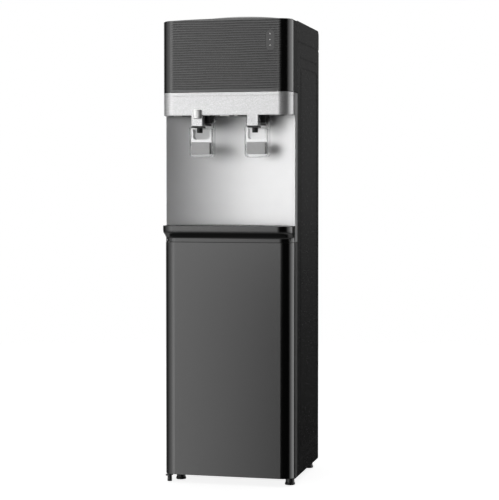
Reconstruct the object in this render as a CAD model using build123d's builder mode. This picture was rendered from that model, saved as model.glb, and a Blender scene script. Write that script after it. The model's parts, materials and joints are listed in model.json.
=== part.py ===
from build123d import *
import os
from math import sin, cos, tan, pi, radians, sqrt

os.makedirs("parts", exist_ok=True)

# ---------------------------------------------------------------------------
# Free-standing bottom load water cooler.
# Millimetres, +Z up, +X to the viewer's right, -Y towards the user.
# Origin: on the floor, at the middle of the overall box.
# Depths below are written as "behind the head's front plane" and turned into
# Y by fy(), because every front face is measured from that plane.
# ---------------------------------------------------------------------------
W = 310.0               # overall width
HW = W / 2
HEAD_PLANE = 159.0      # head's front plane is this far in front of the origin
SIDE_T = 1.5            # pressed steel side panels
SIDE_F = 71.5           # front edge of the side panels
SIDE_B = 328.0          # rear face of the side panels
CAB_Z0 = 15.5           # underside of the cabinet
CAB_Z1 = 1080.0         # top edge of the side panels
DOME_Z = 1102.8         # crown of the top lid
SCREW_Z = (60.0, 220.0, 380.0, 540.0, 640.0, 800.0, 920.0, 1050.0)
CORNER_R = 30.0         # vertical corner radius of head, band, tray and door

HEAD_Z0, HEAD_Z1 = 913.0, 1082.0
BAND_Z0, BAND_Z1 = 861.0, 912.5
SHELL_B = 71.0          # rear edge of the head's and alcove's side returns
SHELL_F = 45.0          # front edge of the alcove's side returns
WALL_R = 211.9          # plan radius of the concave alcove wall
WALL_C = -99.5          # its centre, behind the head's front plane
TRAY_Z0, TRAY_Z1 = 592.6, 604.6
TRAY_F = -10.0
APRON_Z0, APRON_Z1 = 566.2, 592.6
DOOR_Z0, DOOR_Z1 = 19.5, 565.5
DOOR_F, DOOR_B = 15.0, 44.8
DOOR_R = 28.0
FRAME_F = 46.5
HINGE_X, HINGE_F = -144.5, 33.0
PIN_R = 3.0
RUN_GAP = 0.06          # radial running clearance of pins

TAP_X = {"hot": -68.0, "cold": 64.5}
TONGUE_W = 25.3
CEIL_Z = 859.8          # underside of the alcove's ceiling
LOCK_DX, LOCK_W = 2.0, 17.0         # child lock button: offset from the tap, width
LOCK_Z0, LOCK_Z1 = 853.0, 872.5
LOCK_TRAVEL = 4.0
LEVER_HALF = 28.0       # clear levers: half width, front plane, rear edge, foot
LEVER_F, LEVER_B = 38.0, 62.5
LEVER_Z0, LEVER_Z1 = 763.0, 832.5
PIVOT_F, PIVOT_Z = 62.0, 849.0
PROBE_X, PROBE_F = 126.0, 290.0     # probe parked in the bay's rear right corner
DRAIN_X, DRAIN_Z = 116.0, 592.0
COMP_X, COMP_F = 60.0, 205.0        # compressor axis
COLD_X, COLD_F = 57.0, 207.0        # cold tank axis
HOT_X, HOT_F = -92.0, 200.0         # hot tank axis


def fy(d):
    """Y of a plane d mm behind the head's front plane."""
    return d - HEAD_PLANE


def block(x0, x1, f0, f1, z0, z1, mode=Mode.ADD):
    """A box between two X values, two depths and two heights."""
    with Locations(((x0 + x1) / 2, (fy(f0) + fy(f1)) / 2, (z0 + z1) / 2)):
        return Box(x1 - x0, f1 - f0, z1 - z0, mode=mode)


def rod_z(x, f, z0, z1, r, mode=Mode.ADD):
    with Locations((x, fy(f), z0)):
        return Cylinder(r, z1 - z0, align=(Align.CENTER, Align.CENTER, Align.MIN), mode=mode)


def rod_y(x, z, f0, f1, r, mode=Mode.ADD):
    with Locations((x, (fy(f0) + fy(f1)) / 2, z)):
        return Cylinder(r, f1 - f0, rotation=(90, 0, 0), mode=mode)


def rod_x(f, z, x0, x1, r, mode=Mode.ADD):
    with Locations(((x0 + x1) / 2, fy(f), z)):
        return Cylinder(r, x1 - x0, rotation=(0, 90, 0), mode=mode)


def rounded_front(z, front, back, half, r):
    """Plan outline at height z: a rectangle with its two front corners rounded."""
    with BuildSketch(Plane.XY.offset(z)) as s:
        with Locations((0, (fy(front) + fy(back)) / 2)):
            Rectangle(2 * half, back - front)
        fillet(s.vertices().group_by(Axis.Y)[0], r)
    return s.sketch


def pill_xz(x, z, f, w, h):
    """A stadium standing upright on a plane parallel to the front, facing -Y."""
    with BuildSketch(Plane(origin=(x, fy(f), z), x_dir=(1, 0, 0), z_dir=(0, -1, 0))) as s:
        SlotOverall(h, w, rotation=90)
    return s.sketch


# ======================== cabinet: sheet metal ==============================

with BuildPart() as base_pan:
    # bottom tray of folded steel, floor plate with upturned edges
    block(-152.4, 152.4, 52.1, 79.2, CAB_Z0, CAB_Z0 + 1.5)
    block(-153.4, 153.4, 79.2, 325.2, CAB_Z0, CAB_Z0 + 1.5)
    block(-153.4, -151.9, 79.2, 325.2, CAB_Z0, CAB_Z0 + 24)
    block(151.9, 153.4, 79.2, 325.2, CAB_Z0, CAB_Z0 + 24)
    block(-153.4, 153.4, 323.7, 325.2, CAB_Z0, CAB_Z0 + 24)
base_pan.part.label = "base_pan"
export_step(base_pan.part, "parts/base_pan.step")

with BuildPart() as feet:
    # four moulded feet, slightly flared towards the floor, each with a stud
    for (fx, fd) in ((141.0, 57.0), (-126.0, 66.0), (140.0, 278.0), (-140.0, 278.0)):
        with BuildSketch(Plane(origin=(fx, fy(fd), 0), x_dir=(1, 0, 0), z_dir=(0, -1, 0))) as foot_s:
            with BuildLine():
                Polyline((0, 0), (11.0, 0), (12.0, 1.2), (12.0, 3.5), (10.6, 6.0), (10.2, CAB_Z0),
                         (0, CAB_Z0), (0, 0))
            make_face()
        revolve(foot_s.sketch, axis=Axis((fx, fy(fd), 0), (0, 0, 1)))
feet.part.label = "feet"
export_step(feet.part, "parts/feet.step")

with BuildPart() as front_frame:
    # moulded ring round the bottle bay: front flange, outer skin, inner return
    block(-HW, HW, FRAME_F, SIDE_F, CAB_Z0, 566.0)
    block(-138.5, 138.5, FRAME_F - 1, SIDE_F + 1, 34.0, 550.0, mode=Mode.SUBTRACT)
    # cavity of the C section, open to the rear
    block(-152.5, -141.0, FRAME_F + 2.5, SIDE_F + 1, CAB_Z0 + 2.5, 563.5, mode=Mode.SUBTRACT)
    block(141.0, 152.5, FRAME_F + 2.5, SIDE_F + 1, CAB_Z0 + 2.5, 563.5, mode=Mode.SUBTRACT)
    block(-152.5, 152.5, FRAME_F + 2.5, SIDE_F + 1, 552.5, 563.5, mode=Mode.SUBTRACT)
    # the base pan's front edge lies on this ledge
    block(-152.5, 152.5, 52, SIDE_F + 1, CAB_Z0 - 1, 31.5, mode=Mode.SUBTRACT)
    # tongues that the side panels lap over
    block(-153.4, -151.0, SIDE_F - 4, SIDE_F + 16, 45.0, 560.0)
    block(151.0, 153.4, SIDE_F - 4, SIDE_F + 16, 45.0, 560.0)
front_frame.part.label = "front_frame"
export_step(front_frame.part, "parts/front_frame.step")


def side_panel(side):
    """Pressed side panel: flat sheet, rear and top returns, pressed grooves."""
    s = side
    with BuildPart() as p:
        with BuildSketch(Plane.YZ.offset(s * HW if s < 0 else HW - SIDE_T)) as sheet:
            with BuildLine():
                Polyline((fy(SIDE_F), CAB_Z0), (fy(SIDE_B), CAB_Z0), (fy(SIDE_B), CAB_Z1),
                         (fy(SIDE_F), CAB_Z1), (fy(SIDE_F), CAB_Z0))
            make_face()
            fillet(sheet.vertices().group_by(Axis.Y)[-1].group_by(Axis.X)[-1], 13.0)
        extrude(sheet.sketch, amount=SIDE_T)
        a, b = sorted((s * HW, s * 141.0))
        block(a, b, SIDE_B - 1.5, SIDE_B, CAB_Z0, CAB_Z1 - 13.0)
        a, b = sorted((s * HW, s * 152.0))
        block(a, b, SIDE_F, SIDE_B - 14.0, CAB_Z1 - 1.5, CAB_Z1)
        for z in SCREW_Z:
            rod_y(s * 147.5, z, SIDE_B - 2, SIDE_B + 1, 1.75, mode=Mode.SUBTRACT)
        face = Plane(origin=(s * HW, 0, 0), x_dir=(0, 1, 0), z_dir=(s, 0, 0))
        k = 1 if s > 0 else -1    # sketch y runs up on the right side, down on the left
        for (w, dep) in ((6.0, 0.5), (3.0, 1.0)):
            with BuildSketch(face) as g:
                # two cross grooves near the top and one near the foot
                with Locations((fy(202), k * 1031.0)):
                    Rectangle(252.0 + 2, w)
                with Locations((fy(197), k * 995.0)):
                    SlotOverall(198.0 + w, w)
                with Locations((fy(200), k * 52.0)):
                    SlotOverall(192.0 + w, w)
            extrude(g.sketch, amount=-dep, mode=Mode.SUBTRACT)
            # pressed rectangle outline
            with BuildSketch(face) as r:
                with Locations((fy(206.5), k * 523.0)):
                    RectangleRounded(193.0 + w, 898.0 + w, 12.0 + w / 2)
                    RectangleRounded(193.0 - w, 898.0 - w, 12.0 - w / 2, mode=Mode.SUBTRACT)
            extrude(r.sketch, amount=-dep, mode=Mode.SUBTRACT)
        # two small dimples of the tank bracket's spot welds
        for dz in (893.0, 860.0):
            with BuildSketch(face) as d:
                with Locations((fy(198.5), k * dz)):
                    Circle(2.2)
            extrude(d.sketch, amount=-0.6, mode=Mode.SUBTRACT)
    return p


side_panel_left = side_panel(-1)
side_panel_left.part.label = "side_panel_left"
export_step(side_panel_left.part, "parts/side_panel_left.step")

side_panel_right = side_panel(1)
side_panel_right.part.label = "side_panel_right"
export_step(side_panel_right.part, "parts/side_panel_right.step")

with BuildPart() as rear_panel_lower:
    block(-152.0, 152.0, 325.2, 326.5, CAB_Z0, 566.0)
    # pressed stiffening field
    block(-110, 110, 326.5 - 0.6, 327, 90.0, 500.0, mode=Mode.SUBTRACT)
rear_panel_lower.part.label = "rear_panel_lower"
export_step(rear_panel_lower.part, "parts/rear_panel_lower.step")

REC_F = 303.0           # recessed upper rear plate
with BuildPart() as rear_panel_upper:
    block(-152.0, 152.0, REC_F, REC_F + 1.3, 568.0, 1066.0)
    block(-152.0, -150.7, REC_F, 326.5, 568.0, 1066.0)
    block(150.7, 152.0, REC_F, 326.5, 568.0, 1066.0)
    block(-152.0, 152.0, REC_F, 326.5, 566.7, 568.0)
    block(-152.0, 152.0, REC_F, 326.5, 1066.0, 1067.3)
    # louvre slots behind the compressor
    with Locations(*[(48.0, fy(REC_F + 0.65), 584.0 + 10 * i) for i in range(7)]):
        Box(104, 6, 4.5, mode=Mode.SUBTRACT)
    # apertures: mains inlet, two switches in one frame, drain
    block(-122.0, -94.0, REC_F - 1, REC_F + 3, 592.0, 612.0, mode=Mode.SUBTRACT)
    block(-78.0, -30.0, REC_F - 1, REC_F + 3, 590.0, 614.0, mode=Mode.SUBTRACT)
    rod_y(DRAIN_X, DRAIN_Z, REC_F - 2, REC_F + 4, 7.0, mode=Mode.SUBTRACT)
rear_panel_upper.part.label = "rear_panel_upper"
export_step(rear_panel_upper.part, "parts/rear_panel_upper.step")

# ---- condenser: serpentine tube with wires on its rear side -----------------
COND_F = 317.0
COND_Z0, COND_PITCH, COND_N = 664.0, 32.0, 12
with BuildPart() as condenser:
    with BuildLine() as cpath:
        for i in range(COND_N):
            z = COND_Z0 + COND_PITCH * i
            xa, xb = (-112.0, 112.0) if i % 2 == 0 else (112.0, -112.0)
            Line((xa, fy(COND_F), z), (xb, fy(COND_F), z))
            if i < COND_N - 1:
                ThreePointArc((xb, fy(COND_F), z),
                              (xb + (16.0 if xb > 0 else -16.0), fy(COND_F), z + COND_PITCH / 2),
                              (xb, fy(COND_F), z + COND_PITCH))
    with BuildSketch(Plane(origin=(-112.0, fy(COND_F), COND_Z0), z_dir=(1, 0, 0))) as csec:
        Circle(2.4)
    sweep(csec.sketch, path=cpath.wires()[0])
    for i in range(17):
        rod_z(-104.0 + 13.0 * i, COND_F + 3.0, COND_Z0 - 14, COND_Z0 + COND_PITCH * (COND_N - 1) + 14, 0.9)
    # two strips that carry it on the rear plate, with wall bumpers
    for z in (COND_Z0 - 8, COND_Z0 + COND_PITCH * (COND_N - 1) + 8):
        block(-146.0, 146.0, COND_F + 3.4, COND_F + 4.9, z - 5, z + 5)
        for sx in (-1, 1):
            a, b = sorted((sx * 146.0, sx * 143.0))
            block(a, b, REC_F + 1.3, COND_F + 4.9, z - 5, z + 5)
            rod_y(sx * 128.0, z, COND_F + 4.5, 330.0, 6.0)
condenser.part.label = "condenser"
export_step(condenser.part, "parts/condenser.step")

# ---- top lid: flat rim with a low oval dome ---------------------------------
LID_Z = 1079.6
DOME_F = 180.0          # the dome's middle, behind the head's front plane
dome_steps = ((0.0, 141.0, 130.0), (5.4, 135.0, 112.0), (10.4, 125.0, 94.0), (15.4, 108.0, 73.0),
              (19.4, 78.0, 50.6), (22.2, 38.0, 25.0), (DOME_Z - LID_Z, 14.0, 9.0))


def dome(drop, inset):
    with BuildPart() as d:
        for (h, a, b) in dome_steps:
            with BuildSketch(Plane(origin=(0, fy(DOME_F), LID_Z + h - drop))) as e:
                Ellipse(a - inset, b - inset)
        loft()
    return d.part


dome_outer = dome(0.0, 0.0)
dome_inner = dome(2.6, 1.2)
with BuildPart() as top_lid:
    with BuildSketch(Plane.XY.offset(1068.0)) as lid_plan:
        with Locations((0, (fy(3.2) + fy(326.4)) / 2)):
            Rectangle(303.6, 323.2)
        fillet(lid_plan.vertices().group_by(Axis.Y)[0], 27.0)
        fillet(lid_plan.vertices().group_by(Axis.Y)[-1], 10.0)
    extrude(lid_plan.sketch, amount=LID_Z - 1068.0)
    with BuildSketch(Plane.XY.offset(1067.0)) as lid_hollow:
        with Locations((0, (fy(5.8) + fy(323.8)) / 2)):
            Rectangle(298.4, 318.0)
        fillet(lid_hollow.vertices().group_by(Axis.Y)[0], 24.4)
        fillet(lid_hollow.vertices().group_by(Axis.Y)[-1], 7.4)
    extrude(lid_hollow.sketch, amount=LID_Z - 2.6 - 1067.0, mode=Mode.SUBTRACT)
    add(dome_outer)
    add(dome_inner, mode=Mode.SUBTRACT)
top_lid.part.label = "top_lid"
export_step(top_lid.part, "parts/top_lid.step")

with BuildPart() as mid_shelf:
    block(-153.4, 153.4, 79.0, 302.8, 567.0, 568.5)
    block(-153.4, 153.4, 302.0, 325.0, 565.0, 566.5)
    block(-153.4, 153.4, 301.0, 302.8, 565.0, 568.5)
    rod_z(PROBE_X, PROBE_F, 560.0, 570.0, 8.0, mode=Mode.SUBTRACT)
    with Locations(*[(60 + sx * 55, fy(205 + sy * 45), 567.75) for sx in (-1, 1) for sy in (-1, 1)]):
        Cylinder(4.0, 4, mode=Mode.SUBTRACT)
mid_shelf.part.label = "mid_shelf"
export_step(mid_shelf.part, "parts/mid_shelf.step")

with BuildPart() as tank_shelf:
    block(-150.0, 150.0, 116.5, 300.0, 782.0, 783.5)
    block(-150.0, -148.5, 116.5, 300.0, 766.0, 783.5)
    block(148.5, 150.0, 116.5, 300.0, 766.0, 783.5)
    # pass-throughs for the supply hose, the suction line and the heater
    rod_z(95.0, 240.0, 780.0, 785.0, 7.0, mode=Mode.SUBTRACT)
    rod_z(-8.0, 205.0, 780.0, 785.0, 5.0, mode=Mode.SUBTRACT)
    rod_z(HOT_X, HOT_F, 780.0, 785.0, 20.0, mode=Mode.SUBTRACT)
tank_shelf.part.label = "tank_shelf"
export_step(tank_shelf.part, "parts/tank_shelf.step")

# ======================== front mouldings ===================================

with BuildPart() as head_cover:
    extrude(rounded_front(HEAD_Z0, 0.0, SHELL_B, HW, CORNER_R), amount=HEAD_Z1 - HEAD_Z0)
    extrude(rounded_front(HEAD_Z0 - 1, 3.0, SHELL_B + 1, HW - 3.0, CORNER_R - 3.0),
            amount=HEAD_Z1 - HEAD_Z0 + 2, mode=Mode.SUBTRACT)
    # crowned top edge: 1078 at the corners, 1082 in the middle
    with BuildSketch(Plane(origin=(0, fy(-5), 0), x_dir=(1, 0, 0), z_dir=(0, -1, 0))) as hc:
        with BuildLine():
            ThreePointArc((-HW - 1, 1078.0), (0, HEAD_Z1), (HW + 1, 1078.0))
            Polyline((HW + 1, 1078.0), (HW + 1, 900.0), (-HW - 1, 900.0), (-HW - 1, 1078.0))
        make_face()
    extrude(hc.sketch, amount=-110, mode=Mode.INTERSECT)
    # slot for the indicator window
    extrude(pill_xz(106.0, 1030.0, -1.0, 21.4, 48.4), amount=-6, mode=Mode.SUBTRACT)
    # inner bosses and a stiffening ledge
    for bx in (-120.0, 0.0, 90.0):
        rod_y(bx, 925.0, 2.9, 16.0, 4.0)
        rod_y(bx, 925.0, 8.0, 16.1, 1.6, mode=Mode.SUBTRACT)
head_cover.part.label = "head_cover"
export_step(head_cover.part, "parts/head_cover.step")

with BuildPart() as indicator_window:
    extrude(pill_xz(106.0, 1030.0, 0.3, 21.2, 48.2), amount=-2.7)
    extrude(pill_xz(106.0, 1030.0, 3.0, 27.0, 54.0), amount=-1.5)
    for lz in (1044.8, 1031.5, 1018.1):
        rod_y(106.0, lz, -1.0, 6.0, 1.9, mode=Mode.SUBTRACT)
indicator_window.part.label = "indicator_window"
export_step(indicator_window.part, "parts/indicator_window.step")

with BuildPart() as indicator_lenses:
    for lz in (1044.8, 1031.5, 1018.1):
        rod_y(106.0, lz, 0.2, 4.5, 1.88)
        rod_y(106.0, lz, 4.5, 6.0, 2.8)
indicator_lenses.part.label = "indicator_lenses"
export_step(indicator_lenses.part, "parts/indicator_lenses.step")

with BuildPart() as display_board:
    block(92.0, 120.0, 9.0, 10.6, 1000.0, 1060.0)
    for lz in (1044.8, 1031.5, 1018.1):
        rod_y(106.0, lz, 6.2, 9.0, 2.0)
    block(96.0, 116.0, 10.6, 15.0, 1004.0, 1012.0)
display_board.part.label = "display_board"
export_step(display_board.part, "parts/display_board.step")

with BuildPart() as dispenser_fascia:
    extrude(rounded_front(BAND_Z0, 0.0, SHELL_F - 0.2, HW, CORNER_R), amount=BAND_Z1 - BAND_Z0)
    extrude(rounded_front(BAND_Z0 - 1, 3.0, SHELL_F + 1, HW - 3.0, CORNER_R - 3.0),
            amount=BAND_Z1 - BAND_Z0 + 2, mode=Mode.SUBTRACT)
    # fine parting groove near the band's top
    extrude(rounded_front(904.2, -1.0, SHELL_F + 2, HW + 1.0, CORNER_R), amount=0.7, mode=Mode.SUBTRACT)
    extrude(rounded_front(904.2, 0.6, SHELL_F - 0.2, HW - 0.6, CORNER_R - 0.6), amount=0.7)
    extrude(rounded_front(904.0, 3.0, SHELL_F + 1, HW - 3.0, CORNER_R - 3.0), amount=1.2, mode=Mode.SUBTRACT)
    # ceiling of the alcove, a plate that lies just under the band's lower edge
    with BuildSketch(Plane.XY.offset(CEIL_Z)) as ceil_s:
        with Locations((0, fy(WALL_C))):
            Circle(WALL_R - 2.0)
        with Locations((0, fy(57.5))):
            Rectangle(303.0, 109.6, mode=Mode.INTERSECT)
        with BuildSketch(mode=Mode.INTERSECT) as ceil_clip:
            with Locations((0, fy(60.0))):
                Rectangle(305.0, 114.4)
            fillet(ceil_clip.vertices().group_by(Axis.Y)[0], 26.0)
    extrude(ceil_s.sketch, amount=2.0)
    # two tongues that cover the taps, flush with the band
    for cx in TAP_X.values():
        h = TONGUE_W / 2
        block(cx - h, cx + h, 0.0, 29.0, 835.5, 864.5)
        block(cx - h + 2.2, cx + h - 2.2, 2.4, 30.0, 834.0, 865.0, mode=Mode.SUBTRACT)
    # openings in the ceiling round the two valve bodies, and vents between them
    for cx in TAP_X.values():
        for s in (-1, 1):
            a, b = sorted((cx + s * TONGUE_W / 2, cx + s * 29.0))
            block(a, b, 8.0, 100.0, CEIL_Z - 1, CEIL_Z + 3, mode=Mode.SUBTRACT)
        block(cx - 14.0, cx + 14.0, 29.0, 100.0, CEIL_Z - 1, CEIL_Z + 6, mode=Mode.SUBTRACT)
    for (x0, x1, f0, f1) in ((3, 17, 12, 44), (116, 130, 10, 24)):
        block(x0, x1, f0, f1, CEIL_Z - 1, CEIL_Z + 3, mode=Mode.SUBTRACT)
    # guide pocket of the child lock button
    kx = TAP_X["hot"] + LOCK_DX
    block(kx - LOCK_W / 2 - 0.3, kx + LOCK_W / 2 + 0.3, -1.0, 11.0, LOCK_Z0 - 0.3, LOCK_Z1 + 0.3, mode=Mode.SUBTRACT)
    # shallow round dish on the cold tongue
    rod_y(TAP_X["cold"] + 1.0, 849.4, -1.0, 0.5, 4.0, mode=Mode.SUBTRACT)
dispenser_fascia.part.label = "dispenser_fascia"
export_step(dispenser_fascia.part, "parts/dispenser_fascia.step")

with BuildPart() as alcove_shell:
    # concave wall, a band of a large circle 2.4 thick, that runs out into the side returns
    with BuildSketch(Plane.XY.offset(588.0)) as wall_s:
        with Locations((0, fy(WALL_C))):
            Circle(WALL_R + 2.4)
        with Locations((0, fy(SHELL_F + 40.0))):
            Rectangle(2 * HW, 80.0, mode=Mode.INTERSECT)
        for s in (-1, 1):
            with Locations((s * (HW - 1.3), fy((SHELL_F + SHELL_B) / 2))):
                Rectangle(2.6, SHELL_B - SHELL_F)
        with Locations((0, fy(WALL_C))):
            Circle(WALL_R, mode=Mode.SUBTRACT)
    extrude(wall_s.sketch, amount=862.3 - 588.0)
    # side returns, flush with the cabinet's sides
    for s in (-1, 1):
        a, b = sorted((s * HW, s * (HW - 2.6)))
        block(a, b, SHELL_F, SHELL_B, 567.0, 588.0)
        block(a, b, SHELL_F, SHELL_B, 862.3, 912.0)
    # deck that the drip tray slides on
    with BuildSketch(Plane.XY.offset(588.0)) as deck_s:
        with Locations((0, fy(WALL_C))):
            Circle(WALL_R + 1.0)
        with Locations((0, fy(SHELL_F + 50.0))):
            Rectangle(2 * HW - 3.0, 99.6, mode=Mode.INTERSECT)
    extrude(deck_s.sketch, amount=TRAY_Z0 - 588.0)
alcove_shell.part.label = "alcove_shell"
export_step(alcove_shell.part, "parts/alcove_shell.step")

with BuildPart() as tray_apron:
    # cove under the drip tray: front runs from 8 in front of the head's plane back to the door's plane
    for (z, f) in ((APRON_Z1, -8.4), (589.6, -8.0), (586.0, -3.0), (582.0, 5.4), (579.0, 10.6), (576.4, 14.2), (574.0, 15.0)):
        with BuildSketch(Plane.XY.offset(z)) as ap:
            with Locations((0, (fy(f) + fy(45.8)) / 2)):
                Rectangle(W, 45.8 - f)
            fillet(ap.vertices().group_by(Axis.Y)[0], CORNER_R)
    loft()
    extrude(rounded_front(APRON_Z0, 15.0, 45.8, HW, CORNER_R), amount=574.0 - APRON_Z0)
    # side returns of the alcove shell stand beside it, behind depth 34
    block(-HW - 1, -152.2, SHELL_F - 0.2, 50, 566.8, 594.0, mode=Mode.SUBTRACT)
    block(152.2, HW + 1, SHELL_F - 0.2, 50, 566.8, 594.0, mode=Mode.SUBTRACT)
    # hollow from behind, and clear of the deck above
    block(-148.0, 148.0, 24.0, 50, 569.5, 586.0, mode=Mode.SUBTRACT)
    block(-152.3, 152.3, SHELL_F - 0.3, 50, 586.0, 594.0, mode=Mode.SUBTRACT)
    # seat of the upper hinge plate
    rod_z(HINGE_X, HINGE_F, 560.0, 570.0, PIN_R + 0.2, mode=Mode.SUBTRACT)
tray_apron.part.label = "tray_apron"
export_step(tray_apron.part, "parts/tray_apron.step")

# ======================== taps ===============================================


def tap_body(cx):
    """Moulded valve body: foot plate under the tongue, block back to the alcove wall."""
    with BuildPart() as p:
        h = TONGUE_W / 2
        block(cx - h, cx + h, 0.8, 31.0, 831.0, 835.3)
        block(cx - 10.0, cx + 10.0, 3.0, 34.0, 835.0, 852.0)
        block(cx - 11.0, cx + 11.0, 29.6, 88.5, 838.0, 868.0)
        # wide valve chamber that fills the opening in the ceiling
        block(cx - 22.0, cx + 22.0, 33.0, 80.0, 843.0, 868.0)
        # cross bore for the lever pin
        rod_x(PIVOT_F, PIVOT_Z, cx - 23, cx + 23, 2.0, mode=Mode.SUBTRACT)
        # outlet bore and hose spigot
        rod_z(cx, 26.0, 826.0, 844.0, 3.0, mode=Mode.SUBTRACT)
        rod_z(cx, 60.0, 868.0, 884.0, 4.0)
        rod_z(cx, 60.0, 862.0, 885.0, 2.2, mode=Mode.SUBTRACT)
        # bevelled lower rear corner
        chamfer(p.edges().filter_by(Axis.X).group_by(Axis.Z)[0].sort_by(Axis.Y)[-1], 0.6)
    return p


tap_body_hot = tap_body(TAP_X["hot"])
tap_body_hot.part.label = "tap_body_hot"
export_step(tap_body_hot.part, "parts/tap_body_hot.step")

tap_body_cold = tap_body(TAP_X["cold"])
tap_body_cold.part.label = "tap_body_cold"
export_step(tap_body_cold.part, "parts/tap_body_cold.step")

with BuildPart() as tap_nozzles:
    for cx in TAP_X.values():
        with BuildSketch(Plane(origin=(cx, fy(26.0), 0), x_dir=(1, 0, 0), z_dir=(0, -1, 0))) as nz:
            with BuildLine():
                Polyline((3.2, 831.0), (6.9, 831.0), (6.7, 821.2), (5.9, 820.2), (3.2, 820.2), (3.2, 831.0))
            make_face()
        revolve(nz.sketch, axis=Axis((cx, fy(26.0), 0), (0, 0, 1)))
tap_nozzles.part.label = "tap_nozzles"
export_step(tap_nozzles.part, "parts/tap_nozzles.step")

with BuildPart() as lever_pins:
    for cx in TAP_X.values():
        rod_x(PIVOT_F, PIVOT_Z, cx - 29.0, cx + 29.0, 2.0)
        rod_x(PIVOT_F, PIVOT_Z, cx - 25.6, cx - 22.0, 3.6)
        for s in (-1, 1):
            a, b = sorted((cx + s * (LEVER_HALF + 0.3), cx + s * (LEVER_HALF + 1.8)))
            rod_x(PIVOT_F, PIVOT_Z, a, b, 3.6)
lever_pins.part.label = "lever_pins"
export_step(lever_pins.part, "parts/lever_pins.step")


def lever_outline(cx, inset, top):
    """Front outline of the lever, square at the top and rounded at the foot."""
    with BuildSketch(Plane(origin=(cx, fy(LEVER_F), 0), x_dir=(1, 0, 0), z_dir=(0, -1, 0))) as s:
        h = LEVER_HALF - inset
        with Locations((0, (LEVER_Z0 + inset + top) / 2)):
            Rectangle(2 * h, top - LEVER_Z0 - inset)
        fillet(s.vertices().group_by(Axis.Y)[0], 10.0 - inset)
    return s.sketch


def lever_window(cx, grow):
    """The open window above the pad, with a rounded sill."""
    with BuildSketch(Plane(origin=(cx, fy(LEVER_F), 0), x_dir=(1, 0, 0), z_dir=(0, -1, 0))) as s:
        with Locations((0, (805.6 - grow + 829.5) / 2)):
            Rectangle(2 * (20.0 + grow), 829.5 - 805.6 + grow)
        fillet(s.vertices().group_by(Axis.Y)[0], 7.0 + grow)
    return s.sketch


def lever(cx):
    """Clear paddle: a front plate in a deep open-backed rim, with a window, and two arms up to the pivot."""
    with BuildPart() as p:
        # deep rim all round
        extrude(lever_outline(cx, 0.0, LEVER_Z1), amount=-(LEVER_B - LEVER_F))
        extrude(lever_outline(cx, 0.0, LEVER_Z1), amount=1.4)
        extrude(lever_outline(cx, 2.0, LEVER_Z1 - 3.0), amount=-(LEVER_B - LEVER_F) - 1, mode=Mode.SUBTRACT)
        extrude(lever_outline(cx, 2.0, LEVER_Z1 - 3.0), amount=3.0, mode=Mode.SUBTRACT)
        # front plate
        extrude(lever_outline(cx, 1.0, LEVER_Z1 - 2.0), amount=-2.2)
        # lip round the window
        extrude(lever_window(cx, 1.6), amount=-(LEVER_B - LEVER_F - 2.0))
        extrude(lever_window(cx, 0.0), amount=-(LEVER_B - LEVER_F) - 1, mode=Mode.SUBTRACT)
        extrude(lever_window(cx, 0.0), amount=3.0, mode=Mode.SUBTRACT)
        # opening that the pad's core goes through
        block(cx - 20.0, cx + 20.0, LEVER_F - 1, LEVER_F + 3.0, 774.0, 796.0, mode=Mode.SUBTRACT)
        # arms up to the pivot
        for s in (-1, 1):
            x_in = cx + LEVER_HALF - 2.0 if s > 0 else cx - LEVER_HALF
            with BuildSketch(Plane(origin=(x_in, 0, 0), x_dir=(0, 1, 0), z_dir=(1, 0, 0))) as arm:
                with BuildLine():
                    Polyline((fy(44.0), 828.0), (fy(LEVER_B), 828.0), (fy(67.4), 847.0), (fy(66.0), 853.0),
                             (fy(58.0), 853.0), (fy(53.0), 845.0), (fy(44.0), 828.0))
                make_face()
                with Locations((fy(PIVOT_F), PIVOT_Z)):
                    Circle(5.5)
            extrude(arm.sketch, amount=2.0)
        rod_x(PIVOT_F, PIVOT_Z, cx - 30, cx + 30, 2.0 + RUN_GAP, mode=Mode.SUBTRACT)
    return p


lever_hot = lever(TAP_X["hot"])
lever_hot.part.label = "lever_hot"
export_step(lever_hot.part, "parts/lever_hot.step")

lever_cold = lever(TAP_X["cold"])
lever_cold.part.label = "lever_cold"
export_step(lever_cold.part, "parts/lever_cold.step")


def lever_pad(cx):
    """Soft grip pad on the paddle's front, with a block that fills the paddle from behind."""
    with BuildPart() as p:
        with BuildSketch(Plane(origin=(cx, fy(LEVER_F), 0), x_dir=(1, 0, 0), z_dir=(0, -1, 0))) as s:
            with Locations((0, 784.8)):
                RectangleRounded(44.4, 28.0, 3.5)
        extrude(s.sketch, amount=4.0)
        fillet(p.edges().filter_by(GeomType.LINE).group_by(Axis.Y)[0], 1.2)
        block(cx - 20.0, cx + 20.0, LEVER_F, LEVER_F + 2.2, 774.0, 796.0)
        with BuildPart(mode=Mode.ADD) as core:
            block(cx - 23.0, cx + 23.0, LEVER_F + 2.2, LEVER_B - 2.5, 771.5, 798.5)
            fillet(core.edges().filter_by(Axis.Y), 3.0)
    return p


lever_pad_hot = lever_pad(TAP_X["hot"])
lever_pad_hot.part.label = "lever_pad_hot"
export_step(lever_pad_hot.part, "parts/lever_pad_hot.step")

lever_pad_cold = lever_pad(TAP_X["cold"])
lever_pad_cold.part.label = "lever_pad_cold"
export_step(lever_pad_cold.part, "parts/lever_pad_cold.step")

with BuildPart() as lever_springs:
    # one torsion spring beside each valve body, drawn as its wound envelope
    for cx in TAP_X.values():
        rod_x(PIVOT_F, PIVOT_Z, cx + 22.2, cx + 25.7, 5.4)
        rod_x(PIVOT_F, PIVOT_Z, cx + 21.0, cx + 27.0, 3.7, mode=Mode.SUBTRACT)
lever_springs.part.label = "lever_springs"
export_step(lever_springs.part, "parts/lever_springs.step")

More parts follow.
